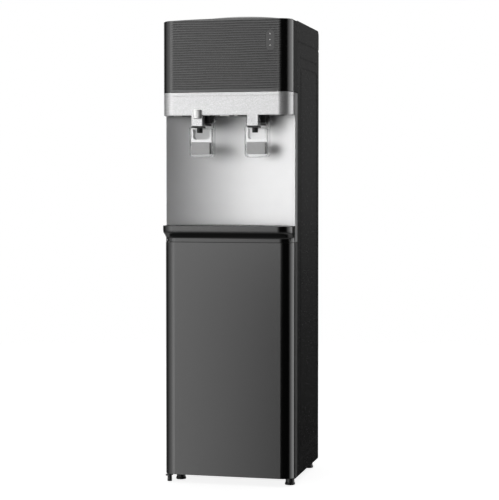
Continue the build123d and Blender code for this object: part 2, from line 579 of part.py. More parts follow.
with BuildPart() as child_lock_button:
    # half-round thumb button that slides in its pocket, on a square stem with a spring guide
    kx = TAP_X["hot"] + LOCK_DX
    with BuildSketch(Plane.XY.offset(LOCK_Z0)) as kb:
        with BuildLine():
            Line((kx - LOCK_W / 2, fy(5.0)), (kx - LOCK_W / 2, fy(-5.5)))
            ThreePointArc((kx - LOCK_W / 2, fy(-5.5)), (kx, fy(-12.0)), (kx + LOCK_W / 2, fy(-5.5)))
            Line((kx + LOCK_W / 2, fy(-5.5)), (kx + LOCK_W / 2, fy(5.0)))
            Line((kx + LOCK_W / 2, fy(5.0)), (kx - LOCK_W / 2, fy(5.0)))
        make_face()
    extrude(kb.sketch, amount=LOCK_Z1 - LOCK_Z0)
    fillet(child_lock_button.edges().filter_by(Axis.Z).group_by(Axis.Y)[0], 2.5)
    chamfer(child_lock_button.edges().group_by(Axis.Z)[-1], 0.8)
    chamfer(child_lock_button.edges().group_by(Axis.Z)[0], 0.8)
    block(TAP_X["hot"] - 5.0, TAP_X["hot"] + 5.0, 4.8, 8.0, 858.0, 867.0)
    rod_y(TAP_X["hot"], 862.5, 7.5, 15.0, 2.2)
child_lock_button.part.label = "child_lock_button"
export_step(child_lock_button.part, "parts/child_lock_button.step")

with BuildPart() as child_lock_spring:
    # compression spring behind the button, drawn as its wound envelope
    rod_y(TAP_X["hot"], 862.5, 12.3, 29.4, 3.6)
    rod_y(TAP_X["hot"], 862.5, 12.0, 30.0, 2.6, mode=Mode.SUBTRACT)
child_lock_spring.part.label = "child_lock_spring"
export_step(child_lock_spring.part, "parts/child_lock_spring.step")

# ======================== drip tray ==========================================


def tray_plan(z, inset):
    """The tray's outline: full width in front, inside the concave wall behind."""
    with BuildSketch(Plane.XY.offset(z)) as s:
        with Locations((0, fy(WALL_C))):
            Circle(WALL_R - 1.5 - inset)
        with Locations((0, fy(35.0))):
            Rectangle(2 * (HW - 6.0), 90.0 + 70.0, mode=Mode.INTERSECT)
        with Locations((0, (fy(TRAY_F + inset) + fy(SHELL_F - 0.6 - inset)) / 2)):
            Rectangle(W - 2 * inset, SHELL_F - 0.6 - TRAY_F - 2 * inset)
    return s.sketch


with BuildPart() as tray_clip_a:
    # block with the rounded front corners, used to trim the tray
    extrude(rounded_front(580.0, TRAY_F, 130.0, HW, CORNER_R), amount=60.0)

with BuildPart() as drip_tray:
    extrude(tray_plan(TRAY_Z0, 0.0), amount=TRAY_Z1 - TRAY_Z0)
    add(tray_clip_a.part, mode=Mode.INTERSECT)
    with BuildPart(mode=Mode.SUBTRACT) as tray_well:
        # lower well, then the ledge for the grille
        extrude(tray_plan(TRAY_Z0 + 2.6, 9.0), amount=20.0)
        extrude(tray_plan(TRAY_Z1 - 3.0, 4.2), amount=20.0)
        extrude(rounded_front(580.0, TRAY_F + 4.2, 130.0, HW - 4.2, CORNER_R - 4.2), amount=60.0, mode=Mode.INTERSECT)
    fillet(drip_tray.faces().sort_by(Axis.Z)[-1].outer_wire().edges().filter_by(lambda e: e.center().Y < fy(SHELL_F - 5.0)), 1.2)
drip_tray.part.label = "drip_tray"
export_step(drip_tray.part, "parts/drip_tray.step")

with BuildPart() as drip_grille:
    extrude(tray_plan(TRAY_Z1 - 2.8, 4.8), amount=2.6)
    extrude(rounded_front(580.0, TRAY_F + 4.8, 130.0, HW - 4.8, CORNER_R - 4.8), amount=60.0, mode=Mode.INTERSECT)
    # rows of drain slots
    with BuildSketch(Plane.XY.offset(590.0)) as slots:
        with Locations((0, fy(24.0))):
            with GridLocations(9.0, 42.0, 27, 2):
                SlotOverall(34.0, 3.6, rotation=90)
        with Locations((0, fy(78.0))):
            with GridLocations(9.0, 1.0, 15, 1):
                SlotOverall(22.0, 3.6, rotation=90)
    extrude(slots.sketch, amount=30.0, mode=Mode.SUBTRACT)
drip_grille.part.label = "drip_grille"
export_step(drip_grille.part, "parts/drip_grille.step")

# ======================== door ===============================================


def door_plan(z, inset, back, shift):
    """Door outline: rounded front corners, clipped rear corner on the hinge side."""
    x0 = -HW + shift
    with BuildSketch(Plane.XY.offset(z)) as s:
        with Locations((0, (fy(DOOR_F + inset) + fy(back)) / 2)):
            Rectangle(W - 2 * inset, back - DOOR_F - inset)
        fillet(s.vertices().group_by(Axis.Y)[0], DOOR_R - inset)
        with BuildLine():
            Polyline((x0 - 10, fy(27.8)), (x0 - 10, fy(60)), (x0 + 22.2, fy(60)), (x0 - 10, fy(27.8)))
        make_face(mode=Mode.SUBTRACT)
    return s.sketch


with BuildPart() as door_panel:
    extrude(door_plan(DOOR_Z0, 0.0, DOOR_B, 0.0), amount=DOOR_Z1 - DOOR_Z0)
    extrude(door_plan(DOOR_Z0 + 2.4, 2.4, DOOR_B + 1.2, 3.4), amount=DOOR_Z1 - DOOR_Z0 - 4.8, mode=Mode.SUBTRACT)
    # hinge bosses
    rod_z(HINGE_X, HINGE_F, DOOR_Z0 + 1, 34.5, 6.0)
    rod_z(HINGE_X, HINGE_F, 550.5, DOOR_Z1 - 1, 6.0)
    rod_z(HINGE_X, HINGE_F, DOOR_Z0 - 1, 34.0, PIN_R + RUN_GAP, mode=Mode.SUBTRACT)
    rod_z(HINGE_X, HINGE_F, 551.0, DOOR_Z1 + 1, PIN_R + RUN_GAP, mode=Mode.SUBTRACT)
    # finger notch in the underside, at the opening edge
    block(96.0, 136.0, 30.0, DOOR_B + 1, DOOR_Z0 - 1, DOOR_Z0 + 2.5, mode=Mode.SUBTRACT)
door_panel.part.label = "door_panel"
export_step(door_panel.part, "parts/door_panel.step")

with BuildPart() as door_liner:
    block(-144.6, 152.3, 42.0, 44.4, DOOR_Z0 + 2.6, DOOR_Z1 - 2.6)
    # ribs that space it from the skin
    for rx in (-90.0, -30.0, 30.0, 90.0):
        block(rx - 1.2, rx + 1.2, 17.6, 42.1, 60.0, 530.0)
    # two pressed fields
    for (z0, z1) in ((60.0, 285.0), (300.0, 525.0)):
        block(-120.0, 120.0, 43.6, 45.0, z0, z1, mode=Mode.SUBTRACT)
    # pocket of the magnet, and the finger notch
    block(139.8, 150.2, 41.0, 46.0, 269.8, 320.2, mode=Mode.SUBTRACT)
    block(96.0, 136.0, 41.0, 46.0, DOOR_Z0, DOOR_Z0 + 12.0, mode=Mode.SUBTRACT)
door_liner.part.label = "door_liner"
export_step(door_liner.part, "parts/door_liner.step")

with BuildPart() as door_magnet:
    block(140.0, 150.0, 34.0, 44.7, 270.0, 320.0)
door_magnet.part.label = "door_magnet"
export_step(door_magnet.part, "parts/door_magnet.step")

with BuildPart() as door_catch:
    block(139.6, 151.0, 45.3, FRAME_F, 266.0, 324.0)
    fillet(door_catch.edges().filter_by(Axis.Y), 2.0)
door_catch.part.label = "door_catch"
export_step(door_catch.part, "parts/door_catch.step")

with BuildPart() as hinge_lower:
    # plate under the cabinet with a stub that reaches the floor
    block(-154.0, -139.4, 27.0, 75.0, 13.0, CAB_Z0)
    fillet(hinge_lower.edges().filter_by(Axis.Z).group_by(Axis.Y)[0], 5.0)
    rod_z(HINGE_X, HINGE_F, CAB_Z0, DOOR_Z0 - 0.6, 5.0)
    rod_z(HINGE_X, HINGE_F, 13.0, 33.0, PIN_R)
    with BuildSketch(Plane(origin=(HINGE_X, fy(HINGE_F), 0), x_dir=(1, 0, 0), z_dir=(0, -1, 0))) as stub:
        with BuildLine():
            Polyline((0, 0), (4.9, 0), (5.5, 0.6), (5.2, 13.0), (0, 13.0), (0, 0))
        make_face()
    revolve(stub.sketch, axis=Axis((HINGE_X, fy(HINGE_F), 0), (0, 0, 1)))
hinge_lower.part.label = "hinge_lower"
export_step(hinge_lower.part, "parts/hinge_lower.step")

with BuildPart() as hinge_upper:
    # plate inside the apron with the upper pin and its head
    block(-147.8, -112.0, 25.0, 45.6, 569.5, 571.7)
    rod_z(HINGE_X, HINGE_F, 553.0, 571.7, PIN_R)
    rod_z(HINGE_X, HINGE_F, 571.6, 573.7, 3.4)
    block(-128.0, -112.0, 45.6 - 1.5, 45.6, 571.7, 584.0)
hinge_upper.part.label = "hinge_upper"
export_step(hinge_upper.part, "parts/hinge_upper.step")




# ======================== bottle bay =========================================

with BuildPart() as bottle_floor:
    block(-150.0, 150.0, 79.6, 323.0, 17.0, 34.0)
    block(-147.0, 147.0, 82.6, 320.0, 16.0, 31.0, mode=Mode.SUBTRACT)
    # guide rails for the bottle
    for s in (-1, 1):
        a, b = sorted((s * 138.0, s * 141.0))
        block(a, b, 84.0, 264.0, 33.5, 58.0)
    # drain gutter and lead-in at the front
    with BuildSketch(Plane.XY.offset(34.0)) as gutter:
        with Locations((0, fy(196.0))):
            Circle(118.0)
            Circle(114.0, mode=Mode.SUBTRACT)
    extrude(gutter.sketch, amount=-1.2, mode=Mode.SUBTRACT)
bottle_floor.part.label = "bottle_floor"
export_step(bottle_floor.part, "parts/bottle_floor.step")

with BuildPart() as probe_dock:
    # forked rest on the rear panel
    block(PROBE_X - 21, PROBE_X + 21, PROBE_F - 8, 323.4, 452.0, 456.0)
    block(PROBE_X - 21, PROBE_X + 21, 323.4, 325.2, 436.0, 472.0)
    rod_z(PROBE_X, PROBE_F, 450.0, 458.0, 15.4, mode=Mode.SUBTRACT)
    block(PROBE_X - 14.0, PROBE_X + 14.0, PROBE_F - 12, PROBE_F, 450.0, 458.0, mode=Mode.SUBTRACT)
probe_dock.part.label = "probe_dock"
export_step(probe_dock.part, "parts/probe_dock.step")

with BuildPart() as probe_cap:
    # screw cap that goes on the bottle's neck, its collar resting in the dock
    rod_z(PROBE_X, PROBE_F, 456.1, 484.0, 21.0)
    rod_z(PROBE_X, PROBE_F, 444.0, 456.2, 15.0)
    rod_z(PROBE_X, PROBE_F, 484.0, 496.0, 6.5)
    fillet(probe_cap.edges().filter_by(GeomType.CIRCLE).filter_by(lambda e: abs(e.radius - 21.0) < 0.1).sort_by(Axis.Z)[-1], 2.0)
    rod_z(PROBE_X, PROBE_F, 440.0, 490.0, 4.0, mode=Mode.SUBTRACT)
probe_cap.part.label = "probe_cap"
export_step(probe_cap.part, "parts/probe_cap.step")

with BuildPart() as dip_tube:
    rod_z(PROBE_X, PROBE_F, 44.0, 489.8, 3.98)
    # slotted strainer at the lower end
    rod_z(PROBE_X, PROBE_F, 38.0, 58.0, 6.0)
    rod_z(PROBE_X, PROBE_F, 37.0, 491.0, 2.6, mode=Mode.SUBTRACT)
    for k in range(4):
        rod_x(PROBE_F, 42.0 + 4 * k, PROBE_X - 8, PROBE_X + 8, 1.0, mode=Mode.SUBTRACT)
dip_tube.part.label = "dip_tube"
export_step(dip_tube.part, "parts/dip_tube.step")



# ======================== machine space ======================================

with BuildPart() as pump:
    rod_z(128.0, 278.0, 622.0, 676.0, 19.0)
    rod_z(128.0, 278.0, 618.0, 622.0, 21.0)
    rod_z(PROBE_X, PROBE_F, 612.0, 618.5, 6.2)
    rod_z(128.0, 278.0, 676.0, 684.0, 5.0)
    # wall plate to the side panel
    block(149.6, 153.4, 262.0, 294.0, 626.0, 670.0)
    block(140.0, 149.7, 274.0, 282.0, 640.0, 656.0)
pump.part.label = "pump"
export_step(pump.part, "parts/pump.step")



with BuildPart() as compressor:
    # hermetic shell: domed drum on a foot plate, with a terminal box
    with BuildSketch(Plane(origin=(COMP_X, fy(COMP_F), 0), x_dir=(1, 0, 0), z_dir=(0, -1, 0))) as cs:
        with BuildLine():
            l1 = Line((0, 583.0), (52.0, 583.0))
            l2 = ThreePointArc((52.0, 583.0), (63.5, 590.0), (66.0, 604.0))
            l3 = Line((66.0, 604.0), (66.0, 682.0))
            l4 = ThreePointArc((66.0, 682.0), (52.0, 708.0), (24.0, 719.0))
            l5 = Line((24.0, 719.0), (0.0, 719.0))
            l6 = Line((0.0, 719.0), (0, 583.0))
        make_face()
    revolve(cs.sketch, axis=Axis((COMP_X, fy(COMP_F), 0), (0, 0, 1)))
    rod_z(COMP_X, COMP_F, 646.0, 650.0, 68.0)
    block(COMP_X - 66, COMP_X + 66, COMP_F - 56, COMP_F + 56, 580.0, 583.2)
    block(COMP_X - 20, COMP_X + 20, COMP_F - 84, COMP_F - 58, 620.0, 668.0)
    for sx in (-1, 1):
        for sy in (-1, 1):
            rod_z(COMP_X + sx * 55, COMP_F + sy * 45, 579.0, 584.0, 3.0, mode=Mode.SUBTRACT)
compressor.part.label = "compressor"
export_step(compressor.part, "parts/compressor.step")

with BuildPart() as rubber_grommets:
    # four compressor feet grommets
    for sx in (-1, 1):
        for sy in (-1, 1):
            rod_z(COMP_X + sx * 55, COMP_F + sy * 45, 568.5, 580.0, 8.5)
            rod_z(COMP_X + sx * 55, COMP_F + sy * 45, 580.0, 584.6, 2.98)
            rod_z(COMP_X + sx * 55, COMP_F + sy * 45, 583.3, 586.6, 6.0)
    # hose grommet in the middle shelf
    with BuildSketch(Plane(origin=(PROBE_X, fy(PROBE_F), 0), x_dir=(1, 0, 0), z_dir=(0, -1, 0))) as gs:
        with BuildLine():
            Polyline((5.05, 564.8), (10.5, 564.8), (10.5, 566.9), (7.9, 566.9), (7.9, 568.6), (10.5, 568.6),
                     (10.5, 570.7), (5.05, 570.7), (5.05, 564.8))
        make_face()
    revolve(gs.sketch, axis=Axis((PROBE_X, fy(PROBE_F), 0), (0, 0, 1)))
rubber_grommets.part.label = "rubber_grommets"
export_step(rubber_grommets.part, "parts/rubber_grommets.step")

with BuildPart() as refrigerant_lines:
    # filter drier, then the discharge and suction tubes
    with BuildSketch(Plane(origin=(-24.0, fy(250.0), 0), x_dir=(1, 0, 0), z_dir=(0, -1, 0))) as fs:
        with BuildLine():
            Polyline((0, 596.0), (2.4, 596.0), (2.4, 606.0), (9.5, 614.0), (9.5, 664.0), (2.4, 672.0), (2.4, 684.0), (0, 684.0), (0, 596.0))
        make_face()
    revolve(fs.sketch, axis=Axis((-24.0, fy(250.0), 0), (0, 0, 1)))
    for pts in (((60.0, 271.5, 660.0), (60.0, 289.0, 660.0), (-2.0, 289.0, 700.0), (-24.0, 250.0, 722.0), (-24.0, 250.0, 684.2)),
                ((38.0, 205.0, 719.2), (38.0, 205.0, 748.0), (-8.0, 205.0, 762.0), (-8.0, 205.0, 818.0))):
        pp = [(x, fy(d), z) for (x, d, z) in pts]
        with BuildLine() as rp:
            FilletPolyline(*pp, radius=8.0)
        with BuildSketch(Plane(origin=pp[0], z_dir=(Vector(*pp[1]) - Vector(*pp[0])).normalized())) as rs:
            Circle(2.2)
        sweep(rs.sketch, path=rp.wires()[0])
refrigerant_lines.part.label = "refrigerant_lines"
export_step(refrigerant_lines.part, "parts/refrigerant_lines.step")

with BuildPart() as water_hoses:
    # suction hose from the probe cap up through the middle shelf to the pump
    rod_z(PROBE_X, PROBE_F, 496.0, 612.0, 5.0)
    rod_z(PROBE_X, PROBE_F, 495.0, 613.0, 3.4, mode=Mode.SUBTRACT)
    # supply hose from the pump to the cold tank
    with BuildLine() as sp:
        FilletPolyline((128.0, fy(278.0), 684.0), (128.0, fy(278.0), 722.0), (95.0, fy(240.0), 748.0),
                       (95.0, fy(240.0), 811.5), radius=14.0)
    with BuildSketch(Plane(origin=(128.0, fy(278.0), 684.0), z_dir=(0, 0, 1))) as sps:
        Circle(4.5)
    sweep(sps.sketch, path=sp.wires()[0])
    # from each tank to its tap
    for (cx, end) in ((TAP_X["cold"], 144.6), (TAP_X["hot"], 166.0)):
        with BuildLine() as hp:
            FilletPolyline((cx, fy(60.0), 885.2), (cx, fy(60.0), 905.0), (cx, fy(end), 905.0), radius=15.0)
        with BuildSketch(Plane(origin=(cx, fy(60.0), 885.2), z_dir=(0, 0, 1))) as hs:
            Circle(5.0)
        sweep(hs.sketch, path=hp.wires()[0])
water_hoses.part.label = "water_hoses"
export_step(water_hoses.part, "parts/water_hoses.step")




with BuildPart() as cold_void:
    rod_z(COLD_X, COLD_F, 813.0, 1011.0, 59.0)
    fillet(cold_void.edges().filter_by(GeomType.CIRCLE), 7.0)

with BuildPart() as cold_tank:
    rod_z(COLD_X, COLD_F, 812.0, 1012.0, 60.0)
    fillet(cold_tank.edges().filter_by(GeomType.CIRCLE), 8.0)
    rod_z(COLD_X, COLD_F, 1012.0 - 1, 1022.0, 8.0)
    add(cold_void.part, mode=Mode.SUBTRACT)
    rod_z(COLD_X, COLD_F, 1000.0, 1023.0, 6.5, mode=Mode.SUBTRACT)
cold_tank.part.label = "cold_tank"
export_step(cold_tank.part, "parts/cold_tank.step")

with BuildPart() as evaporator_coil:
    with Locations(*[(COLD_X, fy(COLD_F), 824.0 + 9.0 * i) for i in range(9)]):
        Torus(62.8, 2.4)
    rod_z(COLD_X - 65.4, COLD_F, 818.2, 900.0, 2.4)
evaporator_coil.part.label = "evaporator_coil"
export_step(evaporator_coil.part, "parts/evaporator_coil.step")

with BuildPart() as cold_foam:
    # two moulded halves round the cold tank
    for (z0, z1, c0, c1) in ((783.6, 905.0, 811.6, 906.0), (905.2, 1052.0, 904.0, 1030.0)):
        block(-34.0, 148.0, 116.0, 298.0, z0, z1)
        rod_z(COLD_X, COLD_F, c0, c1, 69.5, mode=Mode.SUBTRACT)
    # channels: supply hose, suction line, cold outlet
    rod_z(95.0, 240.0, 783.0, 812.0, 5.0, mode=Mode.SUBTRACT)
    rod_z(-8.0, 205.0, 783.0, 830.0, 3.2, mode=Mode.SUBTRACT)
    rod_y(TAP_X["cold"], 905.0, 115.0, 150.0, 5.3, mode=Mode.SUBTRACT)
cold_foam.part.label = "cold_foam"
export_step(cold_foam.part, "parts/cold_foam.step")

with BuildPart() as hot_void:
    rod_z(HOT_X, HOT_F, 798.0, 953.0, 37.0)
    fillet(hot_void.edges().filter_by(GeomType.CIRCLE), 5.0)

with BuildPart() as hot_tank:
    rod_z(HOT_X, HOT_F, 797.0, 954.0, 38.0)
    fillet(hot_tank.edges().filter_by(GeomType.CIRCLE), 6.0)
    rod_z(HOT_X, HOT_F + 14, 953.0, 968.0, 5.0)
    for k in range(3):
        rod_z(HOT_X + 30 * cos(k * 2 * pi / 3), HOT_F + 30 * sin(k * 2 * pi / 3), 783.5, 797.6, 3.0)
    add(hot_void.part, mode=Mode.SUBTRACT)
    rod_z(HOT_X, HOT_F + 14, 945.0, 969.0, 3.8, mode=Mode.SUBTRACT)
hot_tank.part.label = "hot_tank"
export_step(hot_tank.part, "parts/hot_tank.step")

with BuildPart() as hot_jacket:
    rod_z(HOT_X, HOT_F, 805.0, 946.0, 50.0)
    rod_z(HOT_X, HOT_F, 804.0, 947.0, 38.4, mode=Mode.SUBTRACT)
    rod_y(TAP_X["hot"], 905.0, 140.0, 176.0, 5.3, mode=Mode.SUBTRACT)
hot_jacket.part.label = "hot_jacket"
export_step(hot_jacket.part, "parts/hot_jacket.step")

with BuildPart() as heater_fittings:
    # heater flange with its two terminals, and two snap thermostats
    rod_z(HOT_X, HOT_F, 790.0, 797.0, 18.0)
    for dx in (-7.0, 7.0):
        rod_z(HOT_X + dx, HOT_F, 776.0, 790.5, 2.0)
    for dx in (-16.0, 16.0):
        rod_z(HOT_X + dx, HOT_F - 8, 954.0, 961.0, 8.5)
        block(HOT_X + dx - 3, HOT_X + dx + 3, HOT_F - 9, HOT_F - 7, 960.5, 966.0)
heater_fittings.part.label = "heater_fittings"
export_step(heater_fittings.part, "parts/heater_fittings.step")



with BuildPart() as control_board:
    # stands on four spacers off the left side panel
    block(-149.0, -147.4, 120.0, 220.0, 985.0, 1050.0)
    for (d, z) in ((124.0, 989.0), (216.0, 989.0), (124.0, 1046.0), (216.0, 1046.0)):
        rod_x(d, z, -153.4, -148.9, 3.0)
    block(-147.5, -130.0, 130.0, 152.0, 1000.0, 1030.0)
    block(-147.5, -133.0, 160.0, 178.0, 996.0, 1020.0)
    block(-147.5, -138.0, 186.0, 212.0, 1028.0, 1042.0)
control_board.part.label = "control_board"
export_step(control_board.part, "parts/control_board.step")

# ======================== rear fittings ======================================

with BuildPart() as power_inlet:
    block(-121.8, -94.2, 282.0, REC_F + 1.3, 592.2, 611.8)
    block(-128.0, -88.0, REC_F + 1.3, REC_F + 4.3, 587.0, 617.0)
    fillet(power_inlet.edges().filter_by(Axis.Y).group_by(Axis.Y)[-1], 3.0)
    block(-119.0, -97.0, 288.0, REC_F + 6, 595.0, 609.0, mode=Mode.SUBTRACT)
    for (dx, dz) in ((-6.0, -1.5), (6.0, -1.5), (0.0, 2.5)):
        block(-108.0 + dx - 0.9, -108.0 + dx + 0.9, 287.5, 299.0, 602.0 + dz - 1.8, 602.0 + dz + 1.8)
power_inlet.part.label = "power_inlet"
export_step(power_inlet.part, "parts/power_inlet.step")

ROCK_F, ROCK_Z = 300.0, 602.0
ROCK_X = (-66.0, -42.0)
with BuildPart() as switch_housing:
    block(-77.8, -30.2, 284.0, REC_F + 1.3, 590.2, 613.8)
    block(-83.0, -25.0, REC_F + 1.3, REC_F + 3.3, 585.0, 619.0)
    fillet(switch_housing.edges().filter_by(Axis.Y).group_by(Axis.Y)[-1], 2.5)
    for rx in ROCK_X:
        block(rx - 9.0, rx + 9.0, 288.0, REC_F + 6, ROCK_Z - 10.7, ROCK_Z + 10.7, mode=Mode.SUBTRACT)
        rod_x(ROCK_F, ROCK_Z, rx - 10.6, rx + 10.6, 1.5 + RUN_GAP, mode=Mode.SUBTRACT)
switch_housing.part.label = "switch_housing"
export_step(switch_housing.part, "parts/switch_housing.step")


def rocker(rx):
    """Switch key, two shallow faces on a cross trunnion."""
    with BuildPart() as p:
        with BuildSketch(Plane(origin=(rx - 8.6, 0, 0), x_dir=(0, 1, 0), z_dir=(1, 0, 0))) as s:
            with BuildLine():
                Polyline((fy(ROCK_F - 4), ROCK_Z - 4.0), (fy(ROCK_F + 4.0), ROCK_Z - 8.5), (fy(ROCK_F + 4.6), ROCK_Z),
                         (fy(ROCK_F + 7.6), ROCK_Z + 8.5), (fy(ROCK_F + 1.0), ROCK_Z + 8.0), (fy(ROCK_F - 4), ROCK_Z + 3.0),
                         (fy(ROCK_F - 4), ROCK_Z - 4.0))
            make_face()
        extrude(s.sketch, amount=17.2)
        rod_x(ROCK_F, ROCK_Z, rx - 10.4, rx + 10.4, 1.5)
    return p


rocker_heat = rocker(ROCK_X[0])
rocker_heat.part.label = "rocker_heat"
export_step(rocker_heat.part, "parts/rocker_heat.step")

rocker_cool = rocker(ROCK_X[1])
rocker_cool.part.label = "rocker_cool"
export_step(rocker_cool.part, "parts/rocker_cool.step")

with BuildPart() as drain_pipe:
    rod_y(DRAIN_X, DRAIN_Z, 297.0, 318.0, 6.0)
    rod_y(DRAIN_X, DRAIN_Z, REC_F + 1.3, REC_F + 3.5, 11.0)
    rod_y(DRAIN_X, DRAIN_Z, 290.0, 320.0, 4.2, mode=Mode.SUBTRACT)
drain_pipe.part.label = "drain_pipe"
export_step(drain_pipe.part, "parts/drain_pipe.step")

with BuildPart() as drain_cap:
    rod_y(DRAIN_X, DRAIN_Z, REC_F + 4.5, 321.5, 9.0)
    rod_y(DRAIN_X, DRAIN_Z, REC_F + 4.0, 318.6, 6.0 + RUN_GAP, mode=Mode.SUBTRACT)
    fillet(drain_cap.edges().filter_by(GeomType.CIRCLE).sort_by(Axis.Y)[-1], 1.5)
drain_cap.part.label = "drain_cap"
export_step(drain_cap.part, "parts/drain_cap.step")

with BuildPart() as panel_screws:
    # pan heads along both rear returns
    for s in (-1, 1):
        for z in SCREW_Z:
            rod_y(s * 147.5, z, SIDE_B - 1.5, SIDE_B + 0.1, 1.7)
            rod_y(s * 147.5, z, SIDE_B, SIDE_B + 1.7, 3.6)
panel_screws.part.label = "panel_screws"
export_step(panel_screws.part, "parts/panel_screws.step")
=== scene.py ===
import json
import math

import bmesh
import bpy
from mathutils import Matrix, Vector


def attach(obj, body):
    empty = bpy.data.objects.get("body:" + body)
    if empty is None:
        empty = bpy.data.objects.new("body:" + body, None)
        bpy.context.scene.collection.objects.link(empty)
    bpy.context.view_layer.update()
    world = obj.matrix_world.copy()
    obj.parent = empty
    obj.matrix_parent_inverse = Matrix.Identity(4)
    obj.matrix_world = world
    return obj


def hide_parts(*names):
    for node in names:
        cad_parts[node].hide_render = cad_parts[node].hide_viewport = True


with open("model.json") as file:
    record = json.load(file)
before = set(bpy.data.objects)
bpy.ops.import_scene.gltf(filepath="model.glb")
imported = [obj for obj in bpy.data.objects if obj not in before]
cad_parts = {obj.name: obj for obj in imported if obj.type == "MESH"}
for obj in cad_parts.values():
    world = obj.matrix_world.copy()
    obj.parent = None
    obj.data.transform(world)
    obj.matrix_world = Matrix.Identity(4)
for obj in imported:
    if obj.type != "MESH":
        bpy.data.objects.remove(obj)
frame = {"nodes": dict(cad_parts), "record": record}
nodes = frame["nodes"]
bpy.context.view_layer.update()

MM = 0.001
HEAD_PLANE = 159.0


def fy(d):
    """Y in metres of a plane d mm behind the head's front plane."""
    return (d - HEAD_PLANE) * MM


# ----------------------------------------------------------------------------
# camera: seen from the front right, as in the photograph
# ----------------------------------------------------------------------------
cam_data = bpy.data.cameras.new("camera")
cam_data.sensor_fit = "AUTO"
cam_data.sensor_width = 36.0
cam_data.lens = 1524.103867 * 36.0 / 500.0
cam_data.shift_x = 0.0
cam_data.shift_y = -0.03
cam_data.clip_start = 0.05
cam_data.clip_end = 100.0
cam_data.dof.use_dof = False
cam = bpy.data.objects.new("camera", cam_data)
bpy.context.scene.collection.objects.link(cam)
cam.location = (0.882054, -3.56443, 0.699131)
cam.rotation_euler = (math.radians(90.0 - 1.880206), 0.0, math.radians(13.61118))
bpy.context.scene.camera = cam

# ----------------------------------------------------------------------------
# material tools
# ----------------------------------------------------------------------------


class Tree:
    """Small helper round a node tree."""

    def __init__(self, name):
        self.mat = bpy.data.materials.new(name)
        self.mat.use_nodes = True
        self.t = self.mat.node_tree
        self.t.nodes.clear()
        self.out = self.n("ShaderNodeOutputMaterial")
        self.b = self.n("ShaderNodeBsdfPrincipled")
        self.t.links.new(self.b.outputs["BSDF"], self.out.inputs["Surface"])
        self.co = self.n("ShaderNodeTexCoord").outputs["Object"]

    def n(self, kind, **props):
        node = self.t.nodes.new(kind)
        for k, v in props.items():
            setattr(node, k, v)
        return node

    def link(self, a, b):
        self.t.links.new(a, b)

    def put(self, socket, value):
        if hasattr(value, "links"):
            self.link(value, socket)
        else:
            socket.default_value = value

    def math(self, op, a, b=0.0, clamp=False):
        m = self.n("ShaderNodeMath", operation=op, use_clamp=clamp)
        self.put(m.inputs[0], a)
        self.put(m.inputs[1], b)
        return m.outputs[0]

    def stretch(self, scale):
        m = self.n("ShaderNodeMapping")
        self.link(self.co, m.inputs["Vector"])
        m.inputs["Scale"].default_value = scale
        return m.outputs["Vector"]

    def noise(self, scale, detail=3.0, rough=0.5, vec=None, dist=0.0):
        m = self.n("ShaderNodeTexNoise")
        self.link(vec or self.co, m.inputs["Vector"])
        m.inputs["Scale"].default_value = scale
        m.inputs["Detail"].default_value = detail
        m.inputs["Roughness"].default_value = rough
        m.inputs["Distortion"].default_value = dist
        return m.outputs["Fac"]

    def voronoi(self, scale, feature="F1", vec=None, out="Distance"):
        m = self.n("ShaderNodeTexVoronoi", feature=feature)
        self.link(vec or self.co, m.inputs["Vector"])
        m.inputs["Scale"].default_value = scale
        return m.outputs[out]

    def remap(self, v, a, b, c, d):
        m = self.n("ShaderNodeMapRange")
        self.link(v, m.inputs["Value"])
        for k, x in zip(("From Min", "From Max", "To Min", "To Max"), (a, b, c, d)):
            m.inputs[k].default_value = x
        return m.outputs["Result"]

    def mix(self, fac, a, b):
        m = self.n("ShaderNodeMix", data_type="RGBA")
        self.put(m.inputs[0], fac)
        self.put(m.inputs[6], a)
        self.put(m.inputs[7], b)
        return m.outputs[2]

    def bump(self, height, distance, strength=1.0, normal=None):
        m = self.n("ShaderNodeBump")
        m.inputs["Distance"].default_value = distance
        m.inputs["Strength"].default_value = strength
        self.link(height, m.inputs["Height"])
        if normal is not None:
            self.link(normal, m.inputs["Normal"])
        return m.outputs["Normal"]

    def soft_edge(self, radius, samples=6):
        m = self.n("ShaderNodeBevel", samples=samples)
        m.inputs["Radius"].default_value = radius
        return m.outputs["Normal"]

    def edge_mask(self, radius, lo=0.02, hi=0.35):
        """1 along sharp outer edges, 0 on flat faces."""
        b = self.soft_edge(radius, 4)
        g = self.n("ShaderNodeNewGeometry").outputs["Normal"]
        d = self.n("ShaderNodeVectorMath", operation="DOT_PRODUCT")
        self.link(b, d.inputs[0])
        self.link(g, d.inputs[1])
        return self.remap(self.math("SUBTRACT", 1.0, d.outputs["Value"]), lo, hi, 0.0, 1.0)


def grey(v, tint=(1.0, 1.0, 1.0)):
    return (v * tint[0], v * tint[1], v * tint[2], 1.0)


def shade(c, k):
    return (min(c[0] * k, 1.0), min(c[1] * k, 1.0), min(c[2] * k, 1.0), 1.0)


